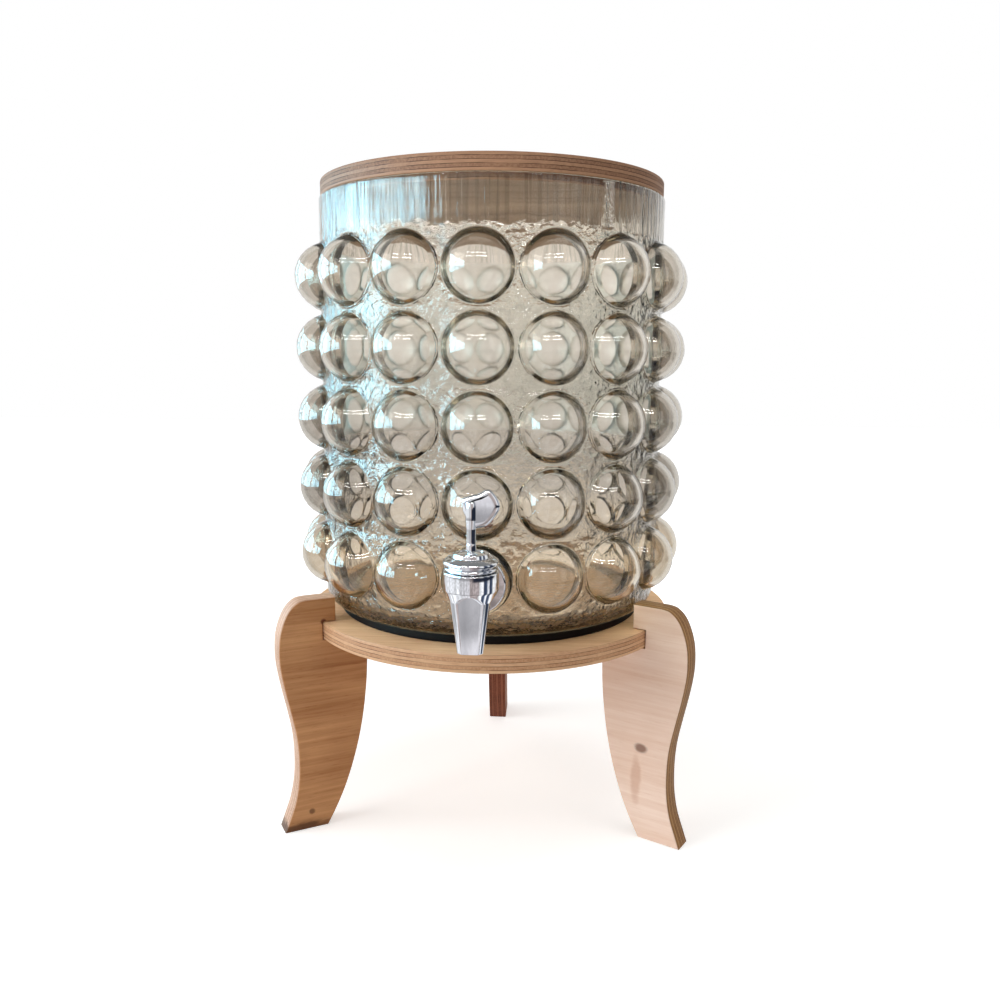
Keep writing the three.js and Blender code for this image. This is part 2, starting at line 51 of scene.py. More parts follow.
jarLow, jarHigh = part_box("glass_jar")
boardLow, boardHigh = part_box("stand_board")
lidLow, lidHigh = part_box("lid_board")
padLow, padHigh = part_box("jar_pad")
outerWasherLow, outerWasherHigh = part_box("outer_washer")
tapPlugLow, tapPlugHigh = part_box("tap_plug")
axisY = (jarLow.y + jarHigh.y) / 2        # the jar's and the stand's upright axis
tapY = (tapPlugLow.y + tapPlugHigh.y) / 2      # the tap's upright axis
shankZ = (outerWasherLow.z + outerWasherHigh.z) / 2     # the level of the tap's shank


# Colours are written as 0 to 255 screen values and turned into linear ones
def paint(red, green, blue):
    share = np.array([red, green, blue]) / 255
    linear = np.where(share <= 0.04045, share / 12.92, ((share + 0.055) / 1.055) ** 2.4)
    return (*linear.tolist(), 1.0)


def newObject(name, data):
    made = bpy.data.objects.new(name, data)
    scene.collection.objects.link(made)
    return made


# A new mesh piece from an array of points and lists of corner numbers. Points that fall together,
# as at a pole, are merged, so every piece is closed.
def newPiece(name, points, faces, body, replaced=(), attributes=None, sharpAngle=38):
    mesh = bpy.data.meshes.new(name)
    mesh.from_pydata(points.reshape(-1, 3).tolist(), [], [list(face) for face in faces])
    for key, values in (attributes or {}).items():
        mesh.attributes.new(key, "FLOAT", "POINT").data.foreach_set("value", values.ravel())
    form = bmesh.new()
    form.from_mesh(mesh)
    bmesh.ops.remove_doubles(form, verts=form.verts, dist=1e-6)
    form.to_mesh(mesh)
    form.free()
    mesh.shade_smooth()
    mesh.set_sharp_from_angle(angle=math.radians(sharpAngle))
    piece = newObject(name, mesh)
    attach(piece, body)
    if replaced:
        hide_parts(*replaced)
    return piece


# Quads between neighbouring rows of a grid whose columns run round and close
def gridFaces(rows, columns, closed=False):
    row = np.arange(rows if closed else rows - 1)[:, None]
    column = np.arange(columns)[None, :]
    above = (row + 1) % rows
    beside = (column + 1) % columns
    corners = (row * columns + column, row * columns + beside,
               above * columns + beside, above * columns + column)
    return np.stack(np.broadcast_arrays(*corners), -1).reshape(-1, 4)


# Corners of an outline rounded by arcs: each arc is centred on the corner's bisector, where it
# touches both sides. A corner with no radius stays as it is.
def roundCorners(corners, radii, steps=4):
    corners = np.asarray(corners, float)
    radii = np.asarray(radii, float)[:, None]
    back = np.roll(corners, 1, 0) - corners
    ahead = np.roll(corners, -1, 0) - corners
    back /= np.linalg.norm(back, axis=1, keepdims=True)
    ahead /= np.linalg.norm(ahead, axis=1, keepdims=True)
    half = np.arccos(np.clip((back * ahead).sum(1, keepdims=True), -1, 1)) / 2
    bisector = back + ahead
    bisector /= np.maximum(np.linalg.norm(bisector, axis=1, keepdims=True), 1e-9)
    centre = corners + bisector * radii / np.sin(half)
    first = corners + back * radii / np.tan(half) - centre
    last = corners + ahead * radii / np.tan(half) - centre
    sweep = (math.pi - 2 * half)[:, :, None]
    part = np.linspace(0, 1, steps + 1)[None, :, None]
    arc = (first[:, None] * np.sin((1 - part) * sweep) + last[:, None] * np.sin(part * sweep))
    points = (centre[:, None] + arc / np.maximum(np.sin(sweep), 1e-9)).reshape(-1, 2)
    plain = np.repeat(radii[:, 0] == 0, steps + 1)
    points[plain] = np.repeat(corners, steps + 1, 0)[plain]
    moved = np.linalg.norm(points - np.roll(points, 1, 0), axis=1) > 1e-7
    moved[0] = True
    return points[moved]


# A profile of (radius, height) carried round an upright axis at (0, middle):
# x = r sin(turn), y = middle - r cos(turn), z = height
def turnedGrid(profile, segments, middle):
    profile = np.asarray(profile, float)
    turn = np.arange(segments) * tau / segments
    radius = profile[:, 0, None]
    return np.stack([
        radius * np.sin(turn),
        middle - radius * np.cos(turn),
        np.broadcast_to(profile[:, 1, None], (len(profile), segments)),
    ], -1)


# The same laid along the shank: the height becomes the distance in front of the jar's axis
def alongShank(grid):
    return np.stack([grid[..., 0], axisY - grid[..., 2], shankZ + grid[..., 1]], -1)


def turnedPiece(name, profile, segments, middle, body, replaced=(), lying=False, closed=False,
                attributes=None):
    grid = turnedGrid(profile, segments, middle)
    if lying:
        grid = alongShank(grid)
    spread = {key: np.repeat(np.asarray(values, float)[:, None], segments, 1)
              for key, values in (attributes or {}).items()}
    faces = gridFaces(len(profile), segments, closed)
    return newPiece(name, grid, faces, body, replaced, spread)


# A smooth curve through points, evenly stepped between each two of them: on every stretch the
# tangent at a point is half the way from the point before it to the point after it
def splineThrough(points, steps):
    points = np.asarray(points, float)
    before = np.vstack([points[:1], points[:-2]])
    start = points[:-1]
    end = points[1:]
    after = np.vstack([points[2:], points[-1:]])
    part = np.linspace(0, 1, steps, endpoint=False)[None, :, None]
    tangentA = ((end - before) / 2)[:, None]
    tangentB = ((after - start) / 2)[:, None]
    a, b = start[:, None], end[:, None]
    curve = ((2 * a - 2 * b + tangentA + tangentB) * part ** 3
             + (-3 * a + 3 * b - 2 * tangentA - tangentB) * part ** 2 + tangentA * part + a)
    return np.vstack([curve.reshape(-1, 2), points[-1:]])


# Outward normals at an outline's points, as long as a mitre needs: n = (a + b) / (1 + a.b) for the
# normals a and b of the two sides that meet there
def mitredNormals(outline):
    side = np.roll(outline, -1, 0) - outline
    after = np.stack([side[:, 1], -side[:, 0]], -1)
    after /= np.maximum(np.linalg.norm(after, axis=1, keepdims=True), 1e-9)
    before = np.roll(after, 1, 0)
    return (before + after) / (1 + (before * after).sum(1, keepdims=True))


# An outline without the points that crowd a sharp corner, where an inset would fold over itself
def clearCorners(outline, room):
    side = np.roll(outline, -1, 0) - outline
    heading = np.arctan2(side[:, 1], side[:, 0])
    turn = (heading - np.roll(heading, 1) + math.pi) % tau - math.pi
    sharp = np.abs(turn) > 0.5
    apart = np.linalg.norm(outline[:, None] - outline[sharp][None], axis=2).min(1)
    return outline[sharp | (apart > room)]


# A plate from an outline in (across, up): the outline is carried over the plate's eased edge, from
# one face to the other, each row drawn in along the outline's own normal. ease is how far in from the
# outline the rounding goes, drop how far down from the face. onEdge is 1 on the cut edge.
def plateGrid(outline, thickness, ease, drop, steps=3):
    normal = mitredNormals(outline)
    turn = np.linspace(0, math.pi / 2, steps + 1)
    inset = np.concatenate([[1.2], 1 - np.sin(turn), 1 - np.cos(turn), [1.2]]) * ease
    level = np.concatenate([
        [thickness / 2], thickness / 2 - drop * (1 - np.cos(turn)),
        -thickness / 2 + drop * (1 - np.sin(turn)), [-thickness / 2],
    ])
    flat = outline[None] - normal[None] * inset[:, None, None]
    grid = np.stack([
        flat[..., 0],
        np.broadcast_to(level[:, None], flat.shape[:2]),
        flat[..., 1],
    ], -1)
    edge = np.clip((thickness / 2 - np.abs(level)) / drop, 0, 1)
    return grid, np.repeat(edge[:, None], len(outline), 1)


def plateFaces(rows, columns):
    caps = [list(range(columns))[::-1], list(range((rows - 1) * columns, rows * columns))]
    return gridFaces(rows, columns).tolist() + caps


# The glass jar

jar = {
    "radius": 0.1, "wall": 0.004, "floor": 0.007,
    "round": 16, "rows": 5, "gap": 0.0019,
    "reach": 0.0151,                     # how far a bubble stands out
    "foot": 0.0006,                      # fillet where a bubble meets the web of glass between them
    "web": 0.0008,                       # how far the web rises to a bubble's foot
    "mouth": 0.0174, "lip": 0.0012, "hollow": 0.0168,      # a hollow inside: mouth, its rounding, depth
    "heel": 0.0124, "heelRound": 0.0086, "floorRound": 0.005, "rimRound": 0.0012, "neckEnd": 1.6,
    "puntWidth": 0.009, "puntSlope": 0.005, "puntDepth": 0.002, "puntShares": ((1, 1), (0.6, 0.85), (0, 0.1)),
    "bossReach": 0.0045, "bossFlare": 0.0014,
    "bossFall": (1, 1, 1, 0.94, 0.6, 0), "bossFollow": (0, 0, 0, 0.1, 0.5, 1),     # over its shoulder
    "seatDepth": 0.002, "seatRadius": 0.014, "hole": 0.007,
    "rings": 11, "domeRings": 6, "filletRings": 2, "holeRings": 3,
    "neckRows": 16, "cornerSteps": 5,
    "ripple": 0.00009, "rippleCounts": (11, 23, 37, 58, 83), "rippleLean": 30,
    # the mould's seam up the neck, in degrees, and how it wanders and swells
    "seamAngle": 39.5, "seamWidth": 1.4, "seamRise": 0.0004,
    "seamWander": 0.7, "seamTurns": (900, 390), "seamSwell": 0.4,
}
cellAngle = tau / jar["round"]
cellHeight = cellAngle * jar["radius"]
bubbleBase = (cellHeight - jar["gap"]) / 2
innerRadius = jar["radius"] - jar["wall"]
rowsBottom = jarLow.z + jar["heel"]
rowsTop = rowsBottom + jar["rows"] * cellHeight
footRing = jar["domeRings"] + jar["filletRings"]


# Rings of a bubble from its tip outwards: a ball's arc, then a fillet's arc, then the web, which falls
# from its height at the bubble's foot to nothing at the cell's square border. rho is the distance from
# the bubble's axis, rise the height over the wall, share how far a web ring has gone from the foot
# circle to the border, and the last value how far a point follows the wall's roundness.
def bubbleRings(base, reach, fillet, web):
    ring = np.arange(jar["rings"] + 1)
    steep = 2 * math.atan((reach - web) / base)
    ball = base / math.sin(steep) - fillet
    polar = steep * np.minimum(ring / jar["domeRings"], 1)
    left = steep * np.clip((footRing - ring) / jar["filletRings"], 0, 1)
    onBall = ring <= jar["domeRings"]
    rho = np.where(onBall, ball * np.sin(polar), base - fillet * np.sin(left))
    rise = np.where(onBall, reach - web - ball + ball * np.cos(polar), fillet * (1 - np.cos(left)))
    share = np.clip((ring - footRing) / (jar["rings"] - footRing), 0, 1)
    return rho, rise + web * (1 - share) ** 2, share, (rho / base) ** 3


# Rings of the flat boss, or of the flat seat behind it: the edge of the hole, the flat, a sloping
# shoulder and plain wall
def bossRings(flatRadius, base, rise):
    _, _, share, _ = bubbleRings(base, jar["reach"], jar["foot"], 0)
    ring = np.arange(jar["rings"] + 1)
    places = [0, jar["holeRings"], jar["domeRings"] - 1, jar["domeRings"], footRing - 1, footRing]
    slope = base - flatRadius
    radii = [0, jar["hole"], flatRadius - slope, flatRadius, flatRadius + slope / 2, base]
    height = rise * np.interp(ring, places, jar["bossFall"])
    return np.interp(ring, places, radii), height, share, np.interp(ring, places, jar["bossFollow"])


# One wall of the jar over its bubble rows, as rows of points from the lowest up. Every cell is a
# square grid bent into rings round the bubble's axis, and d = wall + rise - sag is a point's distance
# from the jar's axis measured along the bubble's axis.
def bubbleWall(wallRadius, rings, boss):
    half = jar["rings"]
    steps = 2 * half
    column = np.arange(jar["round"] * steps)
    row = np.arange(jar["rows"] * steps + 1)
    cellColumn = column // steps
    cellRow = np.minimum(row // steps, jar["rows"] - 1)
    a = ((column - cellColumn * steps) / half - 1)[None, :]
    b = ((row - cellRow * steps) / half - 1)[:, None]
    a, b = np.broadcast_arrays(a, b)
    level = np.maximum(np.abs(a), np.abs(b))
    ring = np.rint(level * half).astype(int)
    wide = np.abs(a) >= np.abs(b)
    safe = np.where(level == 0, 1, np.where(wide, a, b))
    slant = math.pi / 4 * np.where(wide, b, a) / safe
    sign = np.sign(safe)
    circleX = np.where(wide, sign * np.cos(slant), sign * np.sin(slant))
    circleY = np.where(wide, sign * np.sin(slant), sign * np.cos(slant))
    isBoss = (cellColumn[None, :] == 0) & (cellRow[:, None] == 0)
    rho, rise, share, follow = [
        np.where(isBoss, bossValues[ring], plainValues[ring]) for plainValues, bossValues in zip(rings, boss)
    ]
    level = np.maximum(level, 1e-9)
    borderX = wallRadius * np.sin(a / level * cellAngle / 2)
    borderY = b / level * cellHeight / 2
    across = rho * circleX * (1 - share) + borderX * share
    up = rho * circleY * (1 - share) + borderY * share
    sag = wallRadius - np.sqrt(wallRadius ** 2 - across ** 2)
    distance = wallRadius + rise - sag * follow
    middle = cellColumn[None, :] * cellAngle
    height = rowsBottom + (cellRow[:, None] + 0.5) * cellHeight + up
    points = np.stack([
        distance * np.sin(middle) + across * np.cos(middle),
        -distance * np.cos(middle) + across * np.sin(middle), height,
    ], -1)
    return points, np.clip(ring - footRing + 1, 0, 1).astype(float)


# Faint upright waves of drawn glass: a sum of sines round the jar, each with its own start
def ripples(turn, height, seed):
    random = np.random.default_rng(seed)
    waves = np.zeros(np.broadcast(turn, height).shape)
    for count in jar["rippleCounts"]:
        start, lean, size = random.uniform(0, tau), random.uniform(-1, 1), random.uniform(0.4, 1)
        wave = np.sin(count * turn + start + lean * jar["rippleLean"] * height)
        waves = waves + size * wave * (jar["rippleCounts"][0] / count) ** 0.5
    return jar["ripple"] * waves


# How near a point is to the mould's seam: a bell curve round its angle
def seamShare(turn):
    return np.exp(-((np.degrees(turn) - jar["seamAngle"]) / jar["seamWidth"]) ** 2)


def columnTurns():
    return (np.arange(jar["round"] * 2 * jar["rings"]) / (2 * jar["rings"]) - 0.5) * cellAngle


def levelRows(profile, seed=None, seam=False):
    profile = np.asarray(profile, float)
    turn = columnTurns()
    radius = np.repeat(profile[:, 0, None], len(turn), 1)
    height = np.repeat(profile[:, 1, None], len(turn), 1)
    if seam:
        fast, slow = jar["seamTurns"]
        wander = np.sin(height * fast) * np.sin(height * slow + 1)
        swell = 1 + jar["seamSwell"] * (wander - 1)
        radius = radius + jar["seamRise"] * swell * seamShare(turn + np.radians(jar["seamWander"]) * wander)
    if seed is not None:
        fade = np.sin(np.linspace(0, math.pi, len(profile)))[:, None] ** 0.5
        radius = radius + fade * ripples(turn[None, :], height, seed)
    return np.stack([radius * np.sin(turn), -radius * np.cos(turn), height], -1)


def makeJar():
    r, wall, corner = jar["radius"], jar["wall"], jar["cornerSteps"]
    base, top = jarLow.z, jarHigh.z
    footRadius = r - jar["heelRound"]
    floorTop = base + jar["floor"]
    quarter = np.linspace(0, math.pi / 2, corner + 1)
    heel = np.stack([footRadius + jar["heelRound"] * np.sin(quarter),
                     base + jar["heelRound"] * (1 - np.cos(quarter))], -1)
    puntRadius = footRadius - jar["puntWidth"]
    punt = [[puntRadius - jar["puntSlope"] * into, base + jar["puntDepth"] * up]
            for into, up in jar["puntShares"]]
    under = [[0, base + jar["puntDepth"]], *punt, [puntRadius + jar["puntWidth"] / 5, base]]
    rimRound = jar["rimRound"]
    rim = roundCorners([[r, top - wall], [r, top], [innerRadius, top], [innerRadius, top - wall]],
                       [0, rimRound, rimRound, 0])[1:-1]
    neckLevels = np.linspace(rowsTop, top - rimRound * jar["neckEnd"], jar["neckRows"] + 1)[1:]
    outerNeck = np.stack([np.full(len(neckLevels), r), neckLevels], -1)
    innerNeck = np.stack([np.full(len(neckLevels), innerRadius), neckLevels[::-1]], -1)
    floorCorner = np.stack([innerRadius - jar["floorRound"] * (1 - np.cos(quarter)),
                            floorTop + jar["floorRound"] * (1 - np.sin(quarter))], -1)
    outerWall, outerWeb = bubbleWall(
        r, bubbleRings(bubbleBase, jar["reach"], jar["foot"], jar["web"]),
        bossRings(bubbleBase - jar["bossFlare"], bubbleBase, jar["bossReach"]))
    innerWall, innerWeb = bubbleWall(
        innerRadius, bubbleRings(jar["mouth"], jar["hollow"], jar["lip"], 0),
        bossRings(jar["seatRadius"], jar["mouth"], -jar["seatDepth"]))
    blocks = [levelRows(np.vstack([under, heel])), outerWall, levelRows(outerNeck, 3, True), levelRows(rim),
              levelRows(innerNeck, 7), innerWall[::-1],
              levelRows(np.vstack([floorCorner, [[0, floorTop]]]))]
    points = np.concatenate(blocks)
    points[..., 1] += axisY
    inside, web, seam = ([np.full(block.shape[:2], value) for block in blocks] for value in (0.0, 1.0, 0.0))
    inside[4:] = [block + 1 for block in inside[4:]]
    web[1], web[5] = outerWeb, innerWeb[::-1]
    seam[2] = seam[2] + seamShare(columnTurns())
    columns = points.shape[1]
    faces = gridFaces(len(points), columns)
    # The hole for the shank: the faces inside the hole ring go, and a band joins the two rings left
    half, hole = jar["rings"], jar["holeRings"]
    outerStart = len(blocks[0])
    innerStart = sum(len(block) for block in blocks[:5])
    innerEnd = innerStart + len(innerWall) - 1
    row, column = faces[:, 0] // columns, faces[:, 0] % columns
    inColumns = (column >= half - hole) & (column < half + hole)
    outerHole = inColumns & (row - outerStart >= half - hole) & (row - outerStart < half + hole)
    innerHole = inColumns & (innerEnd - row > half - hole) & (innerEnd - row <= half + hole)
    faces = faces[~(outerHole | innerHole)]
    side = np.arange(-hole, hole)
    fixed = np.full(2 * hole, hole)
    ringX = half + np.concatenate([side, fixed, -side, -fixed])
    ringY = half + np.concatenate([-fixed, side, fixed, -side])
    outerRing = (outerStart + ringY) * columns + ringX
    innerRing = (innerEnd - ringY) * columns + ringX
    band = np.stack([outerRing, np.roll(outerRing, -1), np.roll(innerRing, -1), innerRing], -1)
    marks = {"inside": np.concatenate(inside), "web": np.concatenate(web), "seam": np.concatenate(seam)}
    return newPiece("jar_glass", points, np.vstack([faces, band]).tolist(), "jar", ["glass_jar"],
                    marks, sharpAngle=60)


# The plywood lid and board: turned discs with eased edges. onEdge marks the cut edge.

discs = {
    "segments": 240, "ease": 0.0008, "plugEase": 0.0004,
    "padWidth": 0.011, "padRounds": (0.0004, 0.0009, 0.0009, 0.0004),
}


def plywoodDisc(name, node, body, ease):
    low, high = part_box(node)
    radius = (high.x - low.x) / 2
    corners = [[0, low.z], [radius, low.z], [radius, high.z], [0, high.z]]
    profile = roundCorners(corners, [0, ease, ease, 0])
    flat = [[radius - 2 * ease, low.z], [radius - 2 * ease, high.z]]
    profile = np.vstack([profile[:1], flat[:1], profile[1:-1], flat[1:], profile[-1:]])
    edge = np.clip((profile[:, 0] - radius + ease) / ease, 0, 1)
    return turnedPiece(name, profile, discs["segments"], axisY, body, [node],
                       attributes={"onEdge": edge})


# A ring of square section between two radii and two levels, with its corners rounded
def ringProfile(inner, outer, low, high, rounds):
    return roundCorners([[inner, low], [outer, low], [outer, high], [inner, high]], rounds)


def makeDiscs():
    made = [
        plywoodDisc("lid_plywood", "lid_board", "lid", discs["ease"]),
        plywoodDisc("lid_plug_plywood", "lid_plug", "lid", discs["plugEase"]),
        plywoodDisc("board_plywood", "stand_board", "stand", discs["ease"]),
    ]
    radius = (padHigh.x - padLow.x) / 2
    profile = ringProfile(radius - discs["padWidth"], radius, padLow.z, padHigh.z, discs["padRounds"])
    pad = turnedPiece("pad_ring", profile, discs["segments"], axisY, "stand", ["jar_pad"],
                      closed=True)
    return made, pad


# The legs: plates cut to one curved outline

leg = {
    "thickness": 0.0124, "outreach": 0.0256, "inreach": 0.026, "lobeHeight": 0.014, "lobeGap": 0.0012,
    "slotGap": 0.0003, "ease": 0.0007, "steps": 8,
    "turns": {"back": 90, "left": 210, "right": 330},
    # outlines by shares of the reach beyond or inside the board's edge, and of the height below or above it
    "shinShares": [
        [0.98, 0], [0.87, 0.065], [0.73, 0.155], [0.645, 0.26], [0.625, 0.38],
        [0.66, 0.5], [0.765, 0.625], [0.9, 0.765], [0.985, 0.88], [1, 0.965]],
    "shoulderShares": [[0.965, 0.21], [0.86, 0.565], [0.725, 0.81], [0.55, 0.96], [0.37, 1]],
    "calfShares": [
        [1, 0.86], [0.965, 0.72], [0.865, 0.545], [0.71, 0.385], [0.495, 0.23], [0.27, 0.11], [0.01, 0]],
}
boardRadius = (boardHigh.x - boardLow.x) / 2


def legOutline():
    clear, boardTop = boardLow.z, boardHigh.z
    legTop = boardTop + leg["lobeHeight"]
    gap = leg["slotGap"]
    shin = [[boardRadius + out * leg["outreach"], up * clear] for out, up in leg["shinShares"]]
    shoulder = [[boardRadius + out * leg["outreach"], clear + up * (legTop - clear)]
                for out, up in leg["shoulderShares"]]
    lobe = jar["radius"] + leg["lobeGap"]
    slot = [[lobe, legTop], [lobe, boardTop + gap], [boardRadius + gap, boardTop + gap],
            [boardRadius + gap, clear - gap], [boardRadius - leg["inreach"], clear - gap]]
    calf = [[boardRadius - into * leg["inreach"], up * clear] for into, up in leg["calfShares"]]
    outer = splineThrough(shin + shoulder, leg["steps"])
    inner = splineThrough(slot[-1:] + calf, leg["steps"])
    return clearCorners(np.vstack([outer, slot[:-1], inner]), 2 * leg["ease"])


def turnedAbout(grid, degrees):
    turn = math.radians(degrees)
    x, y = grid[..., 0], grid[..., 1]
    return np.stack([x * math.cos(turn) - y * math.sin(turn),
                     axisY + x * math.sin(turn) + y * math.cos(turn), grid[..., 2]], -1)


def makeLegs():
    outline = legOutline()
    grid, edge = plateGrid(outline, leg["thickness"], leg["ease"], leg["ease"])
    faces = plateFaces(*grid.shape[:2])
    return {name: newPiece(f"leg_{name}_plywood", turnedAbout(grid, turn), faces, "stand",
                           [f"leg_{name}"], {"onEdge": edge})
            for name, turn in leg["turns"].items()}


jarPiece = makeJar()
print("jar:", len(jarPiece.data.polygons), "faces")
discPieces, padPiece = makeDiscs()
legPieces = makeLegs()
print("plywood:", [len(piece.data.polygons) for piece in [*discPieces, *legPieces.values()]])


# The tap: a turned barrel with four flats on its nozzle, its shank, bonnet, wing key and washers

tap = {
    "segments": 288, "stepZ": 0.00028,
    "barrel": 0.0133, "barrelRise": 0.0134,
    "shoulderRise": 0.0046, "shoulderDrop": 0.0006,
    "nozzle": 0.0115, "nozzleEnd": 0.0075, "nozzleDrop": 0.0264,
    "cavity": 0.0065, "seatDrop": 0.0074, "bore": 0.0042,
    "flats": 4, "flatRise": 0.003,
    "flatWidth": 0.0146, "flatEndWidth": 0.0098, "flatDepth": 0.0094, "flatEndDepth": 0.0062,
    "flatEdge": 0.00035,                 # how softly a flat ends
    "outsideRounds": (0, 0.0005, 0.003, 0.0035, 0.0006, 0), "arcSteps": 8,
    "insideRounds": (0, 0.0003, 0, 0.0003, 0.0004, 0),
    "shank": 0.006, "flow": 0.0034, "flange": 0.0155, "flangeThick": 0.003, "neck": 0.0076,
    "neckFlare": 0.0012, "neckEnd": 0.9, "flareLength": 0.004,
    "shankRounds": (0.0003, 0.0006, 0.0002, 0.0007, 0.0011, 0.0012, 0.003, 0.0002, 0.0002),
    "washerGap": 0.0003, "washerRounds": (0.0002, 0.0005, 0.0005, 0.0002),
}
bonnet = {
    "radius": 0.0133, "gap": 0.0003, "skirt": 0.0022, "groove": 0.0008, "grooveDepth": 0.0017,
    "cap": 0.0038, "capRadius": 0.0135, "capEdge": 0.0017, "capDraft": 0.985, "boss": 0.0086, "bore": 0.0021,
    "spigot": 0.005, "hollow": 0.0066, "segments": 144,
    "footInset": 0.001, "skirtEdge": 0.0006,
    # radius and level against the boss and the cap's top, and against the hollow and the boss's top
    "bossFoot": ((0.0022, -0.0002), (0.0004, -0.0006)), "bossDraft": 0.0002,
    "dish": (-0.0004, -0.0007), "dishDepth": 0.0009,
    "rounds": (0, 0, 0.0001, 0.0004, 0.0008, 0.0002, 0.0002, 0.0004, 0.0011, 0.0012, 0.0004, 0.0005, 0.0003,
               0.0002, 0.0002),
}
key = {
    "hub": 0.0028, "hubLength": 0.0242, "waist": 0.00235, "waistLevels": (0.004, 0.011, 0.015),
    "rounds": (0, 0, 0.0002, 0.0005, 0.004, 0.004, 0.003, 0.0012, 0),
    "wingThick": 0.0034, "reach": 0.0134, "back": 0.0044, "wingHeight": 0.019,
    "crown": 0.0024,                     # how far in from its outline the wing is rounded
    "cornerRoom": 0.0004, "socket": 0.0021, "socketDepth": 0.0088, "steps": 8, "segments": 96,
    "edgeShares": [[0.5, 0.06], [0.8, 0.26], [1, 0.52], [0.93, 0.76], [0.62, 1], [0.3, 0.9]],
    "backShares": [[0.6, 0.8], [1, 0.7], [0.9, 0.45]],
}


def smoothStep(low, high, value):
    share = np.clip((value - low) / (high - low), 0, 1)
    return share * share * (3 - 2 * share)


# The barrel's outside as radius over angle and height: the turned profile, and inside each flat's
# outline the plane of the flat, which lies at depth / cos(angle from the flat's middle)
def barrelGrid():
    nozzleFoot = shankZ - tap["nozzleDrop"]
    barrelTop = shankZ + tap["barrelRise"]
    outside = roundCorners([
        [0, nozzleFoot], [tap["nozzleEnd"], nozzleFoot],
        [tap["nozzle"], shankZ - tap["shoulderDrop"]], [tap["barrel"], shankZ + tap["shoulderRise"]],
        [tap["barrel"], barrelTop], [0, barrelTop],
    ], tap["outsideRounds"], tap["arcSteps"])[1:-1]
    # Even steps between the arcs of the foot and of the top
    arc = tap["arcSteps"] + 1
    levels = np.arange(outside[arc, 1], outside[-arc - 1, 1], tap["stepZ"])
    order = np.argsort(outside[:, 1], kind="stable")
    middle = np.stack([np.interp(levels, outside[order, 1], outside[order, 0]), levels], -1)
    profile = np.vstack([outside[:arc], middle, outside[-arc:]])
    turn = np.arange(tap["segments"]) * tau / tap["segments"]
    radius = np.repeat(profile[:, 0, None], tap["segments"], 1)
    flatLength = tap["nozzleDrop"] + tap["flatRise"]
    up = (profile[:, 1, None] - nozzleFoot) / flatLength
    quarter = tau / tap["flats"]
    fromMiddle = (turn[None, :] + quarter / 2) % quarter - quarter / 2
    depth = tap["flatEndDepth"] + (tap["flatDepth"] - tap["flatEndDepth"]) * up
    plane = depth / np.cos(fromMiddle)
    aside = np.abs(radius * np.sin(fromMiddle))
    archHalf = tap["flatWidth"] / 2
    archStart = 1 - archHalf / flatLength
    halfWidth = np.interp(up, [0, archStart], [tap["flatEndWidth"] / 2, archHalf])
    overArch = np.maximum(up - archStart, 0) * flatLength
    outsideBy = np.where(up > archStart, np.hypot(aside, overArch) - archHalf, aside - halfWidth)
    flat = 1 - smoothStep(-tap["flatEdge"], tap["flatEdge"], outsideBy)
    cut = np.where(plane < radius, radius + (plane - radius) * flat, radius)
    inside = roundCorners([
        [tap["barrel"], barrelTop], [tap["cavity"], barrelTop], [tap["cavity"], shankZ - tap["seatDrop"]],
        [tap["bore"], shankZ - tap["seatDrop"]], [tap["bore"], nozzleFoot], [tap["nozzleEnd"], nozzleFoot],
    ], tap["insideRounds"])[1:-1]
    radius = np.vstack([cut, np.repeat(inside[:, 0, None], tap["segments"], 1)])
    height = np.concatenate([profile[:, 1], inside[:, 1]])[:, None]
    return np.stack([radius * np.sin(turn), tapY - radius * np.cos(turn),
                     np.broadcast_to(height, radius.shape)], -1)


def makeTap():
    grid = barrelGrid()
    faces = gridFaces(len(grid), tap["segments"], closed=True)
    barrel = newPiece("tap_barrel", grid, faces, "jar", ["tap_body"], sharpAngle=50)
    flangeBack = axisY - outerWasherLow.y
    flangeFront = flangeBack + tap["flangeThick"]
    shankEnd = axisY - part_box("tap_body")[1].y
    barrelBack = axisY - tapY - tap["barrel"] * tap["neckEnd"]
    shankProfile = roundCorners([
        [tap["flow"], shankEnd], [tap["shank"], shankEnd], [tap["shank"], flangeBack],
        [tap["flange"], flangeBack], [tap["flange"], flangeFront], [tap["neck"], flangeFront],
        [tap["neck"], barrelBack - tap["flareLength"]], [tap["neck"] + tap["neckFlare"], barrelBack],
        [tap["flow"], barrelBack],
    ], tap["shankRounds"], steps=6)
    shank = turnedPiece("tap_shank", shankProfile, bonnet["segments"], 0, "jar", ["tap_body"],
                        lying=True, closed=True)
    return barrel, shank


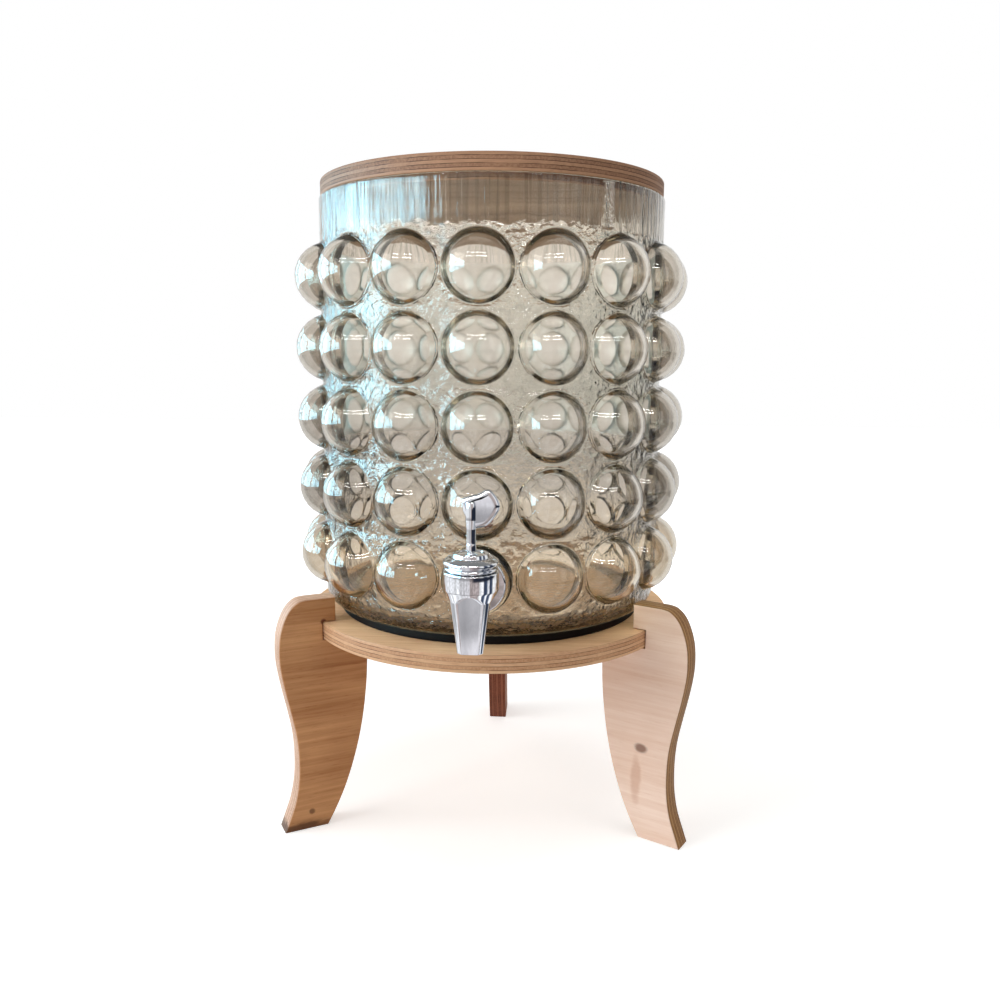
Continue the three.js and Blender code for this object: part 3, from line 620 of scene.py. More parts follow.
def makeBonnet():
    foot = shankZ + tap["barrelRise"] + bonnet["gap"]
    skirtTop = foot + bonnet["skirt"]
    grooveTop = skirtTop + bonnet["groove"]
    capTop = grooveTop + bonnet["cap"]
    low, top = (corner.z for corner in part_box("tap_bonnet"))
    grooveRadius = bonnet["radius"] - bonnet["grooveDepth"]
    profile = roundCorners([
        [bonnet["bore"], low], [bonnet["spigot"], low], [bonnet["spigot"], foot],
        [bonnet["radius"] - bonnet["footInset"], foot], [bonnet["radius"], skirtTop - bonnet["skirtEdge"]],
        [grooveRadius, skirtTop], [grooveRadius, grooveTop], [bonnet["capRadius"], grooveTop],
        [bonnet["capRadius"] * bonnet["capDraft"], grooveTop + bonnet["capEdge"]],
        *([bonnet["boss"] + out, capTop + up] for out, up in bonnet["bossFoot"]),
        [bonnet["boss"] - bonnet["bossDraft"], top], [bonnet["hollow"], top],
        [bonnet["hollow"] + bonnet["dish"][0], top + bonnet["dish"][1]],
        [bonnet["bore"], top - bonnet["dishDepth"]],
    ], bonnet["rounds"], steps=5)
    return turnedPiece("tap_bonnet_turned", profile, bonnet["segments"], tapY, "jar",
                       ["tap_bonnet"], closed=True)


def makeKey():
    keyLow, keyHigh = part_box("tap_key")
    foot = keyLow.z
    hubTop = foot + key["hubLength"]
    socketTop = foot + key["socketDepth"]
    waistLow, waistHigh, hubLow = (foot + level for level in key["waistLevels"])
    profile = roundCorners([
        [0, socketTop], [key["socket"], socketTop], [key["socket"], foot], [key["hub"], foot],
        [key["waist"], waistLow], [key["waist"], waistHigh], [key["hub"], hubLow],
        [key["hub"], hubTop], [0, hubTop],
    ], key["rounds"], steps=5)
    stem = turnedPiece("tap_key_stem", profile, key["segments"], tapY, "tap_valve", ["tap_key"])
    wingFoot = keyHigh.z - key["wingHeight"]
    edge = [[out * key["reach"], wingFoot + up * key["wingHeight"]] for out, up in key["edgeShares"]]
    back = [[-out * key["back"], wingFoot + up * key["wingHeight"]] for out, up in key["backShares"]]
    outline = np.vstack([
        splineThrough([[0, wingFoot], *edge], key["steps"])[:-1],
        splineThrough([edge[-1], *back], key["steps"]), [[-key["hub"] / 2, wingFoot + key["hub"]]],
    ])
    outline = clearCorners(outline, key["cornerRoom"])
    grid, _ = plateGrid(outline, key["wingThick"], key["crown"], key["wingThick"] / 2, steps=8)
    grid[..., 1] += tapY
    wing = newPiece("tap_key_wing", grid, plateFaces(*grid.shape[:2]), "tap_valve", ["tap_key"],
                    sharpAngle=50)
    return stem, wing


def makeWashers():
    made = []
    for node in ("outer_washer", "inner_washer"):
        low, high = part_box(node)
        profile = ringProfile(tap["shank"] + tap["washerGap"], (high.x - low.x) / 2, axisY - high.y,
                              axisY - low.y, tap["washerRounds"])
        made.append(turnedPiece(f"{node}_ring", profile, bonnet["segments"], 0, "jar", [node],
                                lying=True, closed=True))
    return made


tapPieces = [*makeTap(), makeBonnet(), *makeKey()]
washerPieces = makeWashers()
print("tap:", [len(piece.data.polygons) for piece in tapPieces])


# Camera: where the photograph was taken from, worked out from the object's own outlines in it

view = {
    "distance": 0.5485, "azimuth": 3.79, "height": 0.2764, "pitch": 9.29, "roll": 0.37,
    "lens": 32.37, "sensor": 36, "shift": 0.01,
}


# A point round the jar's axis, by degrees to the left of the front
def around(angle, distance, height):
    turn = math.radians(angle)
    return (-distance * math.sin(turn), axisY - distance * math.cos(turn), height)


def makeCamera():
    data = bpy.data.cameras.new("camera")
    data.lens = view["lens"]
    data.sensor_width = view["sensor"]
    data.shift_x = view["shift"]
    place = Matrix.Translation(around(-view["azimuth"], view["distance"], view["height"]))
    for angle, axis in ((view["azimuth"], "Z"), (90 - view["pitch"], "X"), (view["roll"], "Z")):
        place = place @ Matrix.Rotation(math.radians(angle), 4, axis)
    scene.camera = newObject("camera", data)
    scene.camera.matrix_world = place


# Helpers for shader nodes. A value that is a socket is linked, any other is set. Inputs go by name or
# by number.
def setInputs(node, inputs):
    for key, value in inputs.items():
        if isinstance(value, bpy.types.NodeSocket):
            node.id_data.links.new(value, node.inputs[key])
        else:
            node.inputs[key].default_value = value


def addNode(tree, kind, inputs=None, **settings):
    made = tree.nodes.new("ShaderNode" + kind)
    for key, value in settings.items():
        setattr(made, key, value)
    setInputs(made, inputs or {})
    return made.outputs


# A node in the tree that its first linked value belongs to
def joined(kind, inputs, **settings):
    tree = next(value.id_data for value in inputs.values() if isinstance(value, bpy.types.NodeSocket))
    return addNode(tree, kind, inputs, **settings)


def calc(operation, *values):
    return joined("Math", dict(enumerate(values)), operation=operation)[0]


def times(value, *others):
    for other in others:
        value = calc("MULTIPLY", value, other)
    return value


def plus(value, *others):
    for other in others:
        value = calc("ADD", value, other)
    return value


# How far a value is from a half, times a size
def centred(value, size):
    return times(calc("SUBTRACT", value, 0.5), size)


def vectorCalc(operation, *values):
    return joined("VectorMath", dict(enumerate(values)), operation=operation)[0]


def scaledVector(vector, size):
    return joined("VectorMath", {0: vector, "Scale": size}, operation="SCALE")[0]


def lengthOf(vector):
    return joined("VectorMath", {0: vector}, operation="LENGTH")["Value"]


def partOf(vector, axis):
    return joined("SeparateXYZ", {0: vector})[axis]


def mixValues(share, first, second):
    return joined("Mix", {0: share, 2: first, 3: second}, data_type="FLOAT")[0]


def mixColours(share, first, second, kind="MIX"):
    inputs = {0: share, 6: first, 7: second}
    return joined("Mix", inputs, data_type="RGBA", blend_type=kind, clamp_factor=True)[2]


def remap(value, low, high, toLow=0.0, toHigh=1.0):
    inputs = {"Value": value, "From Min": low, "From Max": high, "To Min": toLow, "To Max": toHigh}
    return joined("MapRange", inputs, interpolation_type="SMOOTHSTEP")[0]


# Noise stretched by its scales along X, Y and Z
def noise(vector, scales, detail=4.0, roughness=0.55, distortion=0.0):
    moved = joined("Mapping", {"Vector": vector, "Scale": scales})[0]
    return joined("TexNoise", {
        "Vector": moved, "Scale": 1.0, "Detail": detail, "Roughness": roughness, "Distortion": distortion,
    })[0]


def noiseRange(vector, noiseValues, rangeValues):
    return remap(noise(vector, *noiseValues), *rangeValues)


def bump(height, strength, distance):
    return joined("Bump", {"Height": height, "Strength": strength, "Distance": distance})[0]


def attribute(tree, name):
    return addNode(tree, "Attribute", attribute_name=name)["Fac"]


# A colour ramp over a value, by stops of (position, colour)
def rampOver(value, stops):
    colour = joined("ValToRGB", {0: value})[0]
    elements = colour.node.color_ramp.elements
    for (position, tint), stop in zip(stops, elements):
        stop.position = position
        stop.color = tint
    for position, tint in stops[len(elements):]:
        elements.new(position).color = tint
    return colour


# What a group's sockets carry, by their names. The others carry a plain value.
socketKinds = {
    "Vector": "Vector", "Place": "Vector", "Stretch": "Vector",
    "Light": "Color", "Dark": "Color", "Glue": "Color", "Color": "Color",
}


def newGroup(build, inputs, outputs):
    tree = bpy.data.node_groups.new(build.__name__, "ShaderNodeTree")
    for direction, sockets in (("INPUT", inputs), ("OUTPUT", outputs)):
        for socket in sockets.split():
            kind = "NodeSocket" + socketKinds.get(socket, "Float")
            tree.interface.new_socket(socket, in_out=direction, socket_type=kind)
    enter = tree.nodes.new("NodeGroupInput").outputs
    setInputs(tree.nodes.new("NodeGroupOutput"), build(enter))
    return tree


def useGroup(name, inputs):
    return joined("Group", inputs, node_tree=groups[name])


# Veneer: fine fibres and slower bands along X, with short dark pores
veneer = {
    "fibres": ((16, 420, 420), 6, 0.62), "bands": ((5, 46, 46), 3, 0.5, 0.8),
    "patches": ((14, 22, 22), 2, 0.5, 0.4), "pores": (((150, 1500, 1500), 2, 0.5), (0.6, 0.74)),
    "fibreWeight": 1.5, "bandWeight": 1.5, "patchWeight": 0.9, "poreShade": 0.22, "poreDepth": 0.5,
}


def veneerGrain(enter):
    vector = enter["Vector"]
    fibres, bands, patches = (noise(vector, *veneer[kind]) for kind in ("fibres", "bands", "patches"))
    pores = noiseRange(vector, *veneer["pores"])
    total = plus(centred(fibres, veneer["fibreWeight"]), centred(bands, veneer["bandWeight"]),
                 centred(patches, veneer["patchWeight"]))
    share = calc("MULTIPLY_ADD", total, enter["Contrast"], 0.5)
    share = calc("SUBTRACT", share, times(pores, veneer["poreShade"]))
    return {"Color": mixColours(share, enter["Dark"], enter["Light"]),
            "Height": calc("SUBTRACT", fibres, times(pores, veneer["poreDepth"]))}


# A cut plywood edge: plies of one thickness across the sheet, every other one end grain, with dark
# glue lines between them. Across is the distance from the middle of the sheet.
plies = {
    "wobble": ((40, 40, 40), 2), "streaks": ((60, 900, 900), 4, 0.6), "dots": ((900, 900, 900), 2, 0.5),
    "broken": (((70, 70, 70), 3), (0.35, 0.6, 0.25, 1.0)), "wobbleSize": 0.35, "glueRange": (0.36, 0.48),
    "oddShade": 0.5, "toneShade": 0.35, "textureShade": 1.1, "oddDepth": 0.35,
}


def plyEdge(enter):
    wobble, streaks, dots = (noise(enter["Vector"], *plies[kind]) for kind in ("wobble", "streaks", "dots"))
    layer = plus(calc("DIVIDE", enter["Across"], enter["Ply"]), centred(wobble, plies["wobbleSize"]))
    index = calc("FLOOR", plus(layer, 0.5))
    odd = calc("PINGPONG", index, 1.0)
    tone = joined("TexWhiteNoise", {"W": index}, noise_dimensions="1D")[0]
    texture = mixValues(odd, streaks, dots)
    share = plus(times(odd, plies["oddShade"]), times(tone, plies["toneShade"]),
                 centred(texture, plies["textureShade"]))
    glue = remap(calc("ABSOLUTE", calc("SUBTRACT", layer, index)), *plies["glueRange"])
    glue = times(glue, noiseRange(enter["Vector"], *plies["broken"]))
    return {"Color": mixColours(glue, mixColours(share, enter["Light"], enter["Dark"]), enter["Glue"]),
            "Height": calc("SUBTRACT", texture, times(odd, plies["oddDepth"]))}


# A soft round mark, such as a knot or a stain: 1 at its place, 0 beyond its radius, with a ragged rim
markValues = {"rim": ((90, 260, 260), 4, 0.6), "softness": 0.55}


def woodMark(enter):
    apart = vectorCalc("MULTIPLY", vectorCalc("SUBTRACT", enter["Vector"], enter["Place"]), enter["Stretch"])
    ragged = centred(noise(enter["Vector"], *markValues["rim"]), enter["Ragged"])
    away = plus(calc("DIVIDE", lengthOf(apart), enter["Radius"]), ragged)
    return {"Mask": remap(calc("SUBTRACT", 1.0, away), 0.0, markValues["softness"])}


# Smears and fine scratches on polished metal, as a value around a half
smears = {
    "broad": ((1, 1, 1), 5, 0.6, 0.6), "broadWeight": 0.7, "fine": ((9, 9, 3), 3, 0.6), "fineWeight": 0.3,
}


def smudge(enter):
    scaled = scaledVector(enter["Vector"], enter["Scale"])
    return {"Value": plus(times(noise(scaled, *smears["broad"]), smears["broadWeight"]),
                          times(noise(scaled, *smears["fine"]), smears["fineWeight"]))}


groups = {
    "veneer": newGroup(veneerGrain, "Vector Light Dark Contrast", "Color Height"),
    "ply": newGroup(plyEdge, "Vector Across Ply Light Dark Glue", "Color Height"),
    "mark": newGroup(woodMark, "Vector Place Stretch Radius Ragged", "Mask"),
    "smudge": newGroup(smudge, "Vector Scale", "Value"),
}
black, white = (0, 0, 0, 1), (1, 1, 1, 1)


# A new material: look gives what goes into its shader, from its tree and the object's coordinates
def newMaterial(name, look, *values):
    material = bpy.data.materials.new(name)
    material.use_nodes = True
    tree = material.node_tree
    place = addNode(tree, "TexCoord")["Object"]
    setInputs(tree.nodes["Principled BSDF"], look(tree, place, *values))
    return material


# Plywood: veneer on the faces, plies on the cut edge. The grain runs along the piece's own X after
# the turn, and across says which of its axes crosses the plies. A mark has its place and its squeeze
# across and up, a radius, how ragged it is, a colour and its strength.
plywood = {
    "lid": {
        "face": (paint(204, 167, 136), paint(144, 109, 84)), "contrast": 0.9,
        "edge": (paint(190, 145, 112), paint(124, 87, 66)), "glue": paint(72, 47, 37), "ply": 0.00186,
        # sides: painted shade, the cut edge darkened towards black to the left and right
        "turn": 0, "across": "Z", "marks": [], "sides": (0.0, 0.09, 0.0, 0.3),      # darker to the sides
    },
    # The board's face is painted lighter, painted light that makes up for the jar's shade on it
    "board": {
        "face": (paint(252, 212, 170), paint(204, 154, 118)), "contrast": 0.8,
        "edge": (paint(216, 174, 136), paint(170, 118, 82)), "glue": paint(112, 72, 50), "ply": 0.002,
        "turn": 0, "across": "Z", "marks": [],
    },
    # The legs are lit and shaded copies of one plywood, painted light and shade: the right leg's face and the
    # left leg's edge, which face the window, are paler, the right leg's edge darker and the back leg darkest
    "leg_left": {
        "face": (paint(212, 158, 110), paint(160, 106, 66)), "contrast": 0.9,
        "edge": (paint(226, 190, 166), paint(182, 138, 110)), "glue": paint(120, 78, 56), "ply": 0.00177,
        "turn": 210, "across": "Y", "marks": [
            ((0.128, 0.0), (0.4, 2.2), 0.014, 0.9, paint(70, 40, 26), 0.8),
            ((0.118, 0.0105), (1, 1), 0.0024, 0.5, paint(84, 50, 34), 0.7),
            ((0.1085, 0.1245), (1, 1), 0.0022, 0.2, paint(84, 36, 26), 0.9),
        ],
    },
    "leg_right": {
        "face": (paint(255, 230, 214), paint(230, 192, 168)), "contrast": 0.8,
        "edge": (paint(178, 134, 88), paint(118, 80, 48)), "glue": paint(70, 44, 26), "ply": 0.00177,
        "turn": 330, "across": "Y", "marks": [
            ((0.1085, 0.0545), (0.7, 1), 0.0034, 0.8, paint(120, 78, 60), 0.8),
            ((0.106, 0.036), (2.2, 0.5), 0.009, 0.8, paint(206, 156, 128), 0.5),
        ],
    },
    "leg_back": {
        "face": (paint(168, 114, 84), paint(118, 70, 50)), "contrast": 0.75,
        "edge": (paint(150, 90, 66), paint(96, 50, 34)), "glue": paint(52, 26, 20), "ply": 0.00177,
        "turn": 90, "across": "Y", "marks": [],
    },
    "edgeRange": (0.25, 0.6), "bump": (0.35, 0.0003), "roughness": (0.2, 0.8, 0.62, 0.48), "specular": 0.15,
}


def plywoodLook(tree, place, values, level):
    own = joined("Mapping", {
        "Vector": place, "Location": (0, axisY, level), "Rotation": (0, 0, math.radians(values["turn"])),
    }, vector_type="TEXTURE")[0]
    light, dark = values["face"]
    face = useGroup("veneer", {"Vector": own, "Light": light, "Dark": dark, "Contrast": values["contrast"]})
    light, dark = values["edge"]
    cut = useGroup("ply", {"Vector": own, "Across": partOf(own, values["across"]), "Ply": values["ply"],
                           "Light": light, "Dark": dark, "Glue": values["glue"]})
    edge = remap(attribute(tree, "onEdge"), *plywood["edgeRange"])
    cutColour = cut["Color"]
    # Painted shade: the cut edge is darkened towards the sides
    if "sides" in values:
        beside = remap(calc("ABSOLUTE", partOf(place, "X")), *values["sides"])
        cutColour = mixColours(beside, cutColour, black)
    colour = mixColours(edge, face["Color"], cutColour)
    for (out, up), (squeezeOut, squeezeUp), radius, ragged, tint, strength in values["marks"]:
        mask = useGroup("mark", {"Vector": own, "Place": (out, 0, up), "Stretch": (squeezeOut, 0, squeezeUp),
                                 "Radius": radius, "Ragged": ragged})["Mask"]
        colour = mixColours(times(mask, strength), colour, tint)
    height = mixValues(edge, face["Height"], cut["Height"])
    return {"Base Color": colour, "Roughness": remap(height, *plywood["roughness"]),
            "Normal": bump(height, *plywood["bump"]), "Specular IOR Level": plywood["specular"]}


# Rows are counted from below. Painted shade: darker over the lower rows and to the sides, lifted back to full
# at the foot by clear; the lowest row is tinted warm, a painted reflection of the wood seen through it.
glass = {
    "tint": paint(253, 248, 243), "lowTint": paint(255, 246, 234), "lowRows": (0.4, 1.4),
    "ior": 1.5, "density": 80.0, "absorb": paint(194, 184, 150),
    "shadeRows": (1.2, 4.9), "shade": 0.81, "footLiftRows": (0.7, 1.2), "clear": 1.24,
    "sides": (0.078, 0.108), "sideShade": 0.84, "neckFade": (-0.003, 0.004), "floorFade": (-0.004, 0.004),
    "clouds": (((30, 30, 12), 3, 0.5), (0.3, 0.7, 0.94, 1.0)),
    # cords are dark upright lines in the neck, mottles darker spots of the web
    "cords": (((330, 330, 5), 2, 0.5, 0.3), (0.56, 0.62, 1.0, 0.7)),
    "mottles": (((170, 170, 170), 5, 0.65, 0.8), (0.46, 0.64, 1.0, 0.82)),
    # roughness inside the bubbles of the far wall, in its lower rows, and the front wall's share of it
    "soft": 0.6, "softLow": 0.05, "softRows": (1.85, 2.3), "softFront": 0.1, "wayAcross": 0.045,
    # the ground foot
    "footFade": (0.0022, 0.003), "foot": 0.3, "footAlpha": 0.3,
    # waves of the surface and how high they are: along the seam, on the web and down the neck
    "squiggles": (((700, 700, 450), 3, 0.6), 8.0), "pebbles": (((230, 230, 230), 3, 0.5), 4.5),
    "streaks": (((250, 250, 8), 3, 0.6, 0.3), 2.4), "waveDepth": 0.00035,
}


# A value that goes from one to another between two levels, which are given in bubble rows
def overRows(height, rows, low, high=1.0):
    levels = [rowsBottom + row * cellHeight for row in rows]
    return remap(height, *levels, low, high)


# The same between two levels beside a given one, from nothing to all
def overFade(height, level, fade):
    return remap(height, *(level + offset for offset in fade))


def glassLook(tree, place):
    height = partOf(place, "Z")
    inside, web, seam = (attribute(tree, name) for name in ("inside", "web", "seam"))
    onNeck = overFade(height, rowsTop, glass["neckFade"])
    offNeck = calc("SUBTRACT", 1.0, onNeck)
    # The far wall is met after two passages through glass and a way across the jar. It is blurred.
    path = addNode(tree, "LightPath")
    farWall = times(calc("GREATER_THAN", path["Transmission Depth"], 1.5),
                    calc("GREATER_THAN", path["Ray Length"], glass["wayAcross"]))
    clouds, cords, mottles = (noiseRange(place, *glass[kind]) for kind in ("clouds", "cords", "mottles"))
    mottles = mixValues(calc("SUBTRACT", web, farWall), 1.0, mottles)
    beside = remap(calc("ABSOLUTE", partOf(place, "X")), *glass["sides"])
    # Painted shade: darker over the lower rows and to the sides, lifted back to full at the foot
    shade = times(
        overRows(height, glass["shadeRows"], glass["shade"]),
        overRows(height, glass["footLiftRows"], glass["clear"]), clouds,
        calc("MULTIPLY_ADD", beside, glass["sideShade"] - 1, 1.0), mixValues(onNeck, mottles, cords))
    # Painted reflection: the lowest row is tinted warm for the wood board seen through it
    hue = mixColours(overRows(height, glass["lowRows"], 0.0), glass["lowTint"], glass["tint"])
    softness = overRows(height, glass["softRows"], glass["softLow"], glass["soft"])
    softness = mixValues(farWall, times(softness, glass["softFront"]), softness)
    soft = times(inside, overFade(height, rowsBottom, glass["floorFade"]), offNeck)
    foot = calc("SUBTRACT", 1.0, overFade(height, jarLow.z, glass["footFade"]))
    squiggles, pebbles, streaks = (
        times(noise(place, *noiseValues), size)
        for noiseValues, size in (glass["squiggles"], glass["pebbles"], glass["streaks"]))
    waves = plus(times(squiggles, seam), times(pebbles, web, offNeck), times(streaks, onNeck))
    # Lamps light what is behind the glass
    solid = tree.nodes["Principled BSDF"].outputs[0]
    clear = addNode(tree, "BsdfTransparent")[0]
    surface = addNode(tree, "MixShader", {0: path["Is Shadow Ray"], 1: solid, 2: clear})[0]
    volume = addNode(tree, "VolumeAbsorption", {"Color": glass["absorb"], "Density": glass["density"]})[0]
    setInputs(tree.nodes["Material Output"], {"Surface": surface, "Volume": volume})
    return {"Base Color": mixColours(shade, black, hue), "Transmission Weight": 1, "IOR": glass["ior"],
            "Roughness": calc("MULTIPLY_ADD", soft, softness, times(foot, glass["foot"])),
            "Alpha": calc("MULTIPLY_ADD", foot, glass["footAlpha"] - 1, 1.0),
            "Normal": bump(waves, 1.0, glass["waveDepth"])}


# Metals: a colour, the least roughness and how much smears add to it. The plug is chromed from its
# level up.
metals = {
    "chrome": (paint(232, 234, 238), 0.03, 0.05), "brass": (paint(214, 184, 110), 0.22, 0.15),
    "steel": (paint(206, 208, 210), 0.18, 0.14),
    "smearScale": 60.0, "shade": (0.35, 0.7, 0.0, 0.14), "roughRange": (0.3, 0.75), "bump": (0.5, 0.00001),
    "platedFade": (0.001, 0.0012),
}


def metalLook(tree, place, colour, roughness, spread, platedFrom=None):
    smear = useGroup("smudge", {"Vector": place, "Scale": metals["smearScale"]})["Value"]
    if platedFrom is not None:
        plated = overFade(partOf(place, "Z"), platedFrom, metals["platedFade"])
        colour = mixColours(plated, colour, metals["chrome"][0])
    return {"Base Color": mixColours(remap(smear, *metals["shade"]), colour, black), "Metallic": 1,
            "Roughness": remap(smear, *metals["roughRange"], roughness, roughness + spread),
            "Normal": bump(smear, *metals["bump"])}


# Rubbers: a light and a dark colour and the least roughness. The pad's top is painted pale, painted light
# that makes the glass foot above it look lit.
rubbers = {
    # The pad's near-black colour is rubber and painted shade: it also stands for the dark gap under the glass
    # foot
    "pad": (paint(26, 15, 9), paint(9, 5, 3), 0.6), "seal": (paint(60, 58, 54), paint(26, 25, 24), 0.5),
    "grain": ((600, 600, 600), 4, 0.6), "dust": ((45, 45, 45), 4, 0.6), "dustRange": (0.4, 0.75),
    "roughRange": (0.3, 0.7), "spread": 0.15, "bump": (0.4, 0.00008), "specular": 0.1,
    "paintedLitTop": paint(150, 128, 108), "paintedLitTopFade": (-0.0004, -0.0001),
}


def rubberLook(tree, place, light, dark, roughness, paintedLitTopFrom=None):
    dust = noise(place, *rubbers["dust"])
    colour = mixColours(remap(dust, *rubbers["dustRange"]), dark, light)
    # Painted light: a pale top, so the glass foot over it shows a lit, wood-like tone
    if paintedLitTopFrom is not None:
        paintedLitTop = overFade(partOf(place, "Z"), paintedLitTopFrom, rubbers["paintedLitTopFade"])
        colour = mixColours(paintedLitTop, colour, rubbers["paintedLitTop"])
    return {"Base Color": colour, "Specular IOR Level": rubbers["specular"],
            "Roughness": remap(dust, *rubbers["roughRange"], roughness, roughness + rubbers["spread"]),
            "Normal": bump(noise(place, *rubbers["grain"]), *rubbers["bump"])}


def dress(piece, material):
    piece.data.materials.clear()
    piece.data.materials.append(material)


def dressNodes(material, *names):
    for name in names:
        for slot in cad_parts[name].material_slots:
            slot.link = "OBJECT"
            slot.material = material


dress(jarPiece, newMaterial("bubble_glass", glassLook))
lidWood = newMaterial("plywood_lid", plywoodLook, plywood["lid"], (lidLow.z + lidHigh.z) / 2)
boardWood = newMaterial("plywood_board", plywoodLook, plywood["board"], (boardLow.z + boardHigh.z) / 2)
for piece, wood in zip(discPieces, (lidWood, lidWood, boardWood)):
    dress(piece, wood)
for side, piece in legPieces.items():
    dress(piece, newMaterial(f"plywood_leg_{side}", plywoodLook, plywood[f"leg_{side}"], 0))
# The pad: rubber, made near black as painted shade under the glass foot
dress(padPiece, newMaterial("pad_rubber", rubberLook, *rubbers["pad"], padHigh.z))
chrome = newMaterial("tap_chrome", metalLook, *metals["chrome"])
for piece in tapPieces:
    dress(piece, chrome)
sealRubber = newMaterial("seal_rubber", rubberLook, *rubbers["seal"])
for piece in washerPieces:
    dress(piece, sealRubber)
dressNodes(sealRubber, "o_ring_upper", "o_ring_lower")
dressNodes(chrome, "key_pin")
brass = newMaterial("plug_brass", metalLook, *metals["brass"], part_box("tap_bonnet")[0].z)
dressNodes(brass, "tap_plug")
steel = newMaterial("nut_steel", metalLook, *metals["steel"])
dressNodes(steel, "shank_nut", *(f"leg_pin_{side}" for side in leg["turns"]))
print("materials:", len(bpy.data.materials))


# Studio: a pale floor, a white background, and a bright window to the left

studio = {
    "ambient": (0.5, 0.4925, 0.48, 1), "floorSize": 6.0, "floorWhite": (0.8, 0.8, 0.8, 1),
    "glow": (0.22, 0.75, 0.45, 1.0),     # the floor's glow: from and to which distance, between which values
    # lamps: place, width, height, power and tint, all aimed at one point
    "lamps": {
        "window_light": ((-1.35, -0.55, 0.75), 1.1, 0.9, 17.0, (0.93, 0.98, 1.0)),
        "fill_light": ((1.5, -0.9, 0.8), 0.8, 0.8, 3.0, (1, 1, 1)),
        "top_light": ((0.1, 0.1, 1.6), 1.0, 1.0, 5.0, (1, 1, 1)),
    },
    "lampTarget": (0, 0, 0.2),
    # the window wall, from its far end to its near one, and its panes as shares of it, with their power
    "wallFar": (-1.5, -1.95), "wallNear": (-1.0, 0.9), "wallLow": 0.1, "wallHigh": 0.8, "paneLight": 19.0,
    "panes": [(0.0, 0.24, 1.0), (0.27, 0.5, 1.0), (0.54, 0.79, 1.0), (0.83, 1.0, 0.35)],
    "leaves": (((3.5, 3.5, 16), 5, 0.7, 0.5), (0.38, 0.46)),
    "leaf": paint(34, 42, 46), "sky": paint(174, 228, 248),
    # ceiling tubes: the middle in degrees left of the front, the height and the length
    "tubes": [(23, 1.15, 0.55), (23, 0.86, 0.5), (-14, 1.17, 0.75), (-14, 0.88, 0.7)],
    "tubeDistance": 1.25, "tubeHeight": 0.034, "tubeAim": 0.28,
    "tubeLight": 45.0, "tubeTint": (1, 0.98, 0.95, 1),
    # what shiny surfaces see round them, by degrees to the right of the front
    "room": [
        (-132, (250, 250, 250)), (-128, (70, 78, 92)), (-121, (70, 78, 92)), (-118, (250, 251, 253)),
        (-45, (250, 251, 253)), (-40, (228, 226, 228)), (-2, (222, 219, 222)), (2, (186, 172, 168)),
        (38, (180, 168, 166)), (42, (255, 255, 255)), (56, (255, 255, 255)), (60, (60, 70, 92)),
        (74, (84, 96, 118)), (78, (240, 242, 246)), (84, (240, 242, 246)), (88, (50, 58, 78)),
        (100, (80, 92, 112)), (106, (245, 245, 245)), (132, (255, 255, 255)),
    ],
    "posts": (((7, 7, 7), 4, 0.6), (0.42, 0.58, 0.85, 1.2)),      # changes round the walls
    "ceiling": paint(140, 141, 140), "ceilingFade": (0.4, 0.75),
    # how bright the floor is to a shiny surface, by metres from the tap
    "floorShades": [
        (0.2, 1.1), (0.235, 1.0), (0.26, 0.5), (0.33, 0.64), (0.42, 1.0), (0.86, 1.0), (0.98, 0.5),
        (1.1, 0.5), (1.22, 1.0),
    ],
    "floorReach": 2.0, "clutter": (((14, 14, 14), 4, 0.6, 0.6), (0.42, 0.58, 0.8, 1.2)),
    # from which distance and angle to the right it is dark, and to which angles these shades reach
    "farRight": paint(40, 45, 58), "farFade": (0.8, 0.86), "rightFade": (0.12, 0.3), "frontFade": (1.8, 2.3),
}


# Corners of a rectangle in (x, y, 0)
def rectangle(width, height):
    return [(x * width / 2, y * height / 2, 0) for x, y in ((-1, -1), (1, -1), (1, 1), (-1, 1))]


def newWall(name, corners, material):
    mesh = bpy.data.meshes.new(name)
    mesh.from_pydata(corners, [], [(0, 1, 2, 3)])
    wall = newObject(name, mesh)
    dress(wall, material)
    return wall


# The Light Path outputs, and whether the camera sees the surface, straight or through glass
def seenDirectly(tree):
    path = addNode(tree, "LightPath")
    return path, calc("MAXIMUM", path["Is Camera Ray"], path["Is Transmission Ray"])


# The room by the angle to the right of the front, for a direction whose height doesn't count
def roomColour(way):
    flatWay = vectorCalc("NORMALIZE", vectorCalc("MULTIPLY", way, (1, 1, 0)))
    angle = calc("ARCTAN2", partOf(flatWay, "X"), times(partOf(flatWay, "Y"), -1.0))
    stops = [(degrees / 360 + 0.5, paint(*colour)) for degrees, colour in studio["room"]]
    room = rampOver(calc("MULTIPLY_ADD", angle, 1 / tau, 0.5), stops)
    return scaledVector(room, noiseRange(flatWay, *studio["posts"])), angle


# White where the camera sees the background, straight or through glass. Shiny surfaces see a room with
# pale and dark walls on the camera's side, white behind and a grey ceiling.
def makeWorld():
    world = bpy.data.worlds.new("studio")
    scene.world = world
    world.use_nodes = True
    tree = world.node_tree
    path, seen = seenDirectly(tree)
    way = addNode(tree, "TexCoord")["Generated"]
    room, _ = roomColour(way)
    glossy = mixColours(remap(partOf(way, "Z"), *studio["ceilingFade"]), room, studio["ceiling"])
    colour = mixColours(path["Is Glossy Ray"], studio["ambient"], glossy)
    setInputs(tree.nodes["Background"], {"Color": mixColours(seen, colour, white), "Strength": 1})


